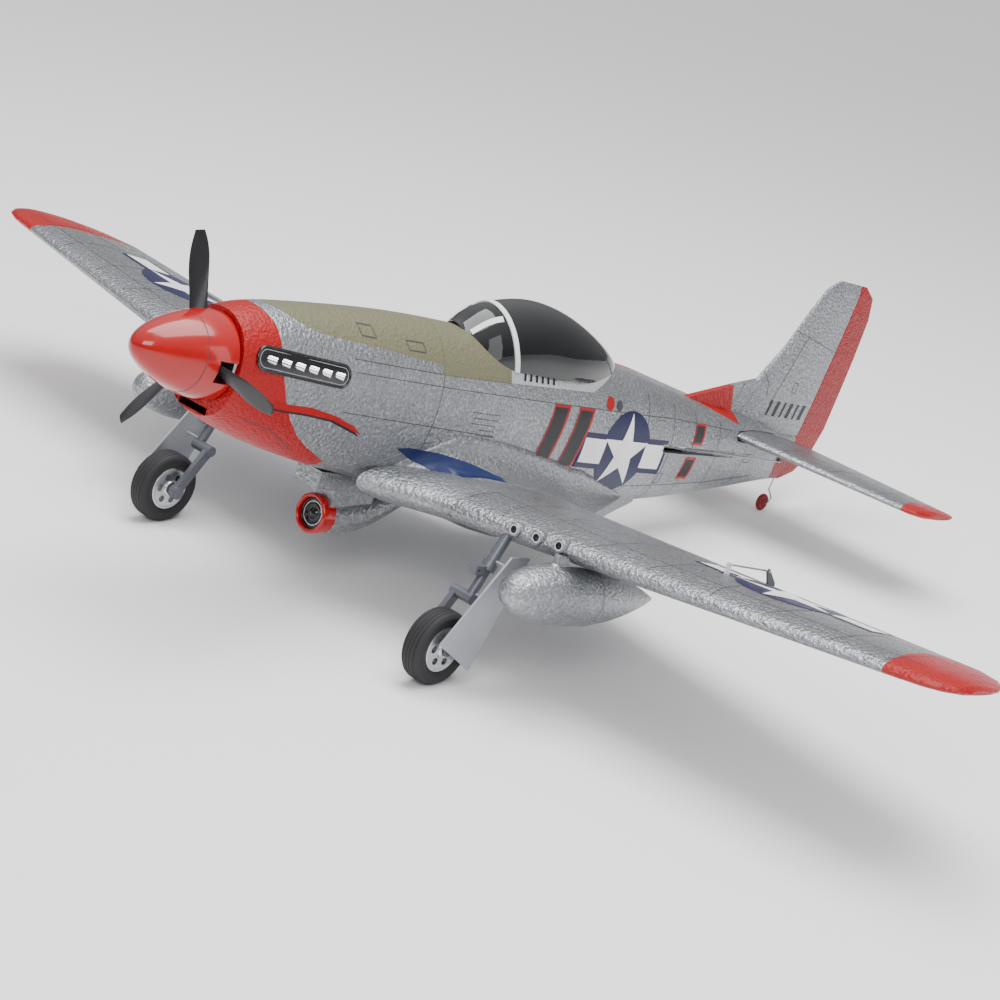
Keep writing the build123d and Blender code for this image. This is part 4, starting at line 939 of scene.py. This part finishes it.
# ---- nose, guns, tanks, camera and exhaust ------------------------------------------------------
spinner_skin = Surface("spinner")
seam_r = spinner_skin.drop((300, 52, 30), (-1, 0, 0), 0)
seam_r = math.hypot(seam_r.x, seam_r.z)
lathe(
    "spinner_seam",
    [(51.7, seam_r - 0.6), (51.7, seam_r + 0.1), (52.3, seam_r + 0.2), (52.3, seam_r - 0.6)],
    (0, 0, 0), (0, 1, 0), ink_line, "propeller_group", "red_plastic", 96,
)
# The chin duct's walls and back are black: painted shade standing in for the dark inside of the opening.
DUCT_CORNERS = ((16.9, -46.3), (16.9, -40.6), (-16.9, -40.6), (-16.9, -46.3))
piece(
    "duct_liner",
    [(x, y, z) for y in (86, 105.5) for x, z in DUCT_CORNERS],
    [(0, 1, 5, 4), (1, 2, 6, 5), (2, 3, 7, 6), (3, 0, 4, 7), (4, 5, 6, 7)],
    black_ink_and_shade, "airframe", "black_plastic", False,
)
GUN_LIP = [
    (14.0, 5.0), (7.0, 6.2), (1.0, 6.5), (-1.6, 6.2), (-2.6, 5.4), (-2.7, 4.4), (-1.8, 3.5),
    (4.0, 3.35), (9.0, 3.3),
]
for sign, side in SIDE_NAMES.items():
    for k, x in enumerate((188.0, 211.5, 235.0)):
        front, _, z, _ = wing_shape(x)
        lathe("gun_lip_" + side + str(k), GUN_LIP, (sign * x, front, z + 3.5), (0, 1, 0), foam_silver,
              "airframe", "silver_foam", 40)
        # black disc inside each gun lip: painted shade down the bore
        lathe("gun_bore_" + side + str(k), [(3.0, 3.28), (3.0, 0)], (sign * x, front, z + 3.5), (0, 1, 0),
              black_ink_and_shade, "airframe", "black_plastic", 24)
    lathe(
        "tank_seam_" + side, [(-1.2, 25.2), (-0.6, 26.3), (0.6, 26.1), (1.2, 24.9)],
        (sign * 240, 350, -99), (0, 1, 0), foam_silver, "airframe", "silver_foam", 72,
    )
    lathe("tank_cap_" + side, [(0, 4.2), (1.6, 4.0), (2.0, 3.2), (2.0, 0)], (sign * 240, 300, -74.2),
          (0, 0.02, 1), alloy, "airframe", "silver_metal", 28)
for sign, side in SIDE_NAMES.items():
    foot = Vector((sign * WHEEL.x, WHEEL.y, WHEEL.z))
    for step in range(6):
        angle = math.pi * step / 3
        spot = foot + Vector((sign * 11.5, 5.6 * math.cos(angle), 5.6 * math.sin(angle)))
        lathe("hub_bolt_" + side + str(step), [(-0.6, 0.75), (0.5, 0.7), (0.7, 0.4), (0.7, 0)], spot,
              (sign, 0, 0), steel, "wheel_" + side, "silver_metal", 16)
LENS = [
    (0.0, 14.2), (-1.4, 13.2), (-0.4, 12.6), (1.0, 12.2), (1.0, 9.4), (-0.8, 9.0), (-1.0, 7.8),
    (0.8, 7.4), (0.6, 5.4), (-1.2, 4.4), (-2.0, 2.6), (-2.3, 0),
]
lathe("lens_rings", LENS, (0, 265.8, -127), (0, 1, 0), lens_dark, "airframe", "lens_glass", 72)
lathe("lens_mark", [(-1.25, 10.9), (-1.35, 10.4)], (0, 266.3, -127), (0, 1, 0), ink_white, "airframe",
      "white_plastic", 60)
RING = [
    (0.6, 14.35), (-1.8, 14.6), (-2.7, 15.4), (-2.9, 16.4), (-2.3, 17.6), (-0.8, 18.15), (5.0, 18.2),
    (6.0, 18.0),
]
lathe("lens_hood", RING, (0, 263.5, -127), (0, 1, 0), gloss_red, "airframe", "red_plastic", 72)

panel_skins = Surface("exhaust_panels")
for sign, side in SIDE_NAMES.items():
    loop, inner = [], []
    for k in range(72):
        t = 2 * math.pi * k / 72
        for reach, path in ((9.4, loop), (7.2, inner)):
            u = math.copysign(43.2, math.cos(t)) + reach * math.cos(t)
            v = reach * math.sin(t)
            lean = math.radians(-2.7)
            y = 150.5 + u * math.cos(lean) - v * math.sin(lean)
            z = 12 + u * math.sin(lean) + v * math.cos(lean)
            spot = panel_skins.drop((sign * 400, y, z), (-sign, 0, 0), 0.3)
            path.append(spot)
    loop = [p for p in loop if p is not None]
    inner = [p for p in inner if p is not None]
    tube("exhaust_rim_" + side, loop, 1.15, gloss_black, "airframe", "black_plastic", closed=True)
    tube("exhaust_line_" + side, inner, 0.35, pale_grey, "airframe", "black_plastic", closed=True)

# ---- windshield bars ---------------------------------------------------------------------------
for sign, side in SIDE_NAMES.items():
    bar = [(sign * 13.0, 371), (sign * 16.6, 371), (sign * 21.5, 403), (sign * 17.5, 403)]
    marking(
        "windshield_bar_" + side, [bar], canopy_skin, from_top, 0.7, soft_white, "hatch", "white_plastic"
    )

# ---- finish ------------------------------------------------------------------------------------
floor_size = 30
floor_data = bpy.data.meshes.new("floor")
floor_data.from_pydata(
    [(-floor_size, -floor_size, 0), (floor_size, -floor_size, 0), (floor_size, floor_size, 0),
     (-floor_size, floor_size, 0)],
    [],
    [(0, 1, 2, 3)],
)
floor = bpy.data.objects.new("floor", floor_data)
bpy.context.scene.collection.objects.link(floor)
floor_paint = Paint("floor_paint", (0.93, 0.93, 0.93), 0.7)
floor_paint.shade(floor_paint.noise(900.0, 2.0), 0.985, 1.0)
floor_data.materials.append(floor_paint.done())
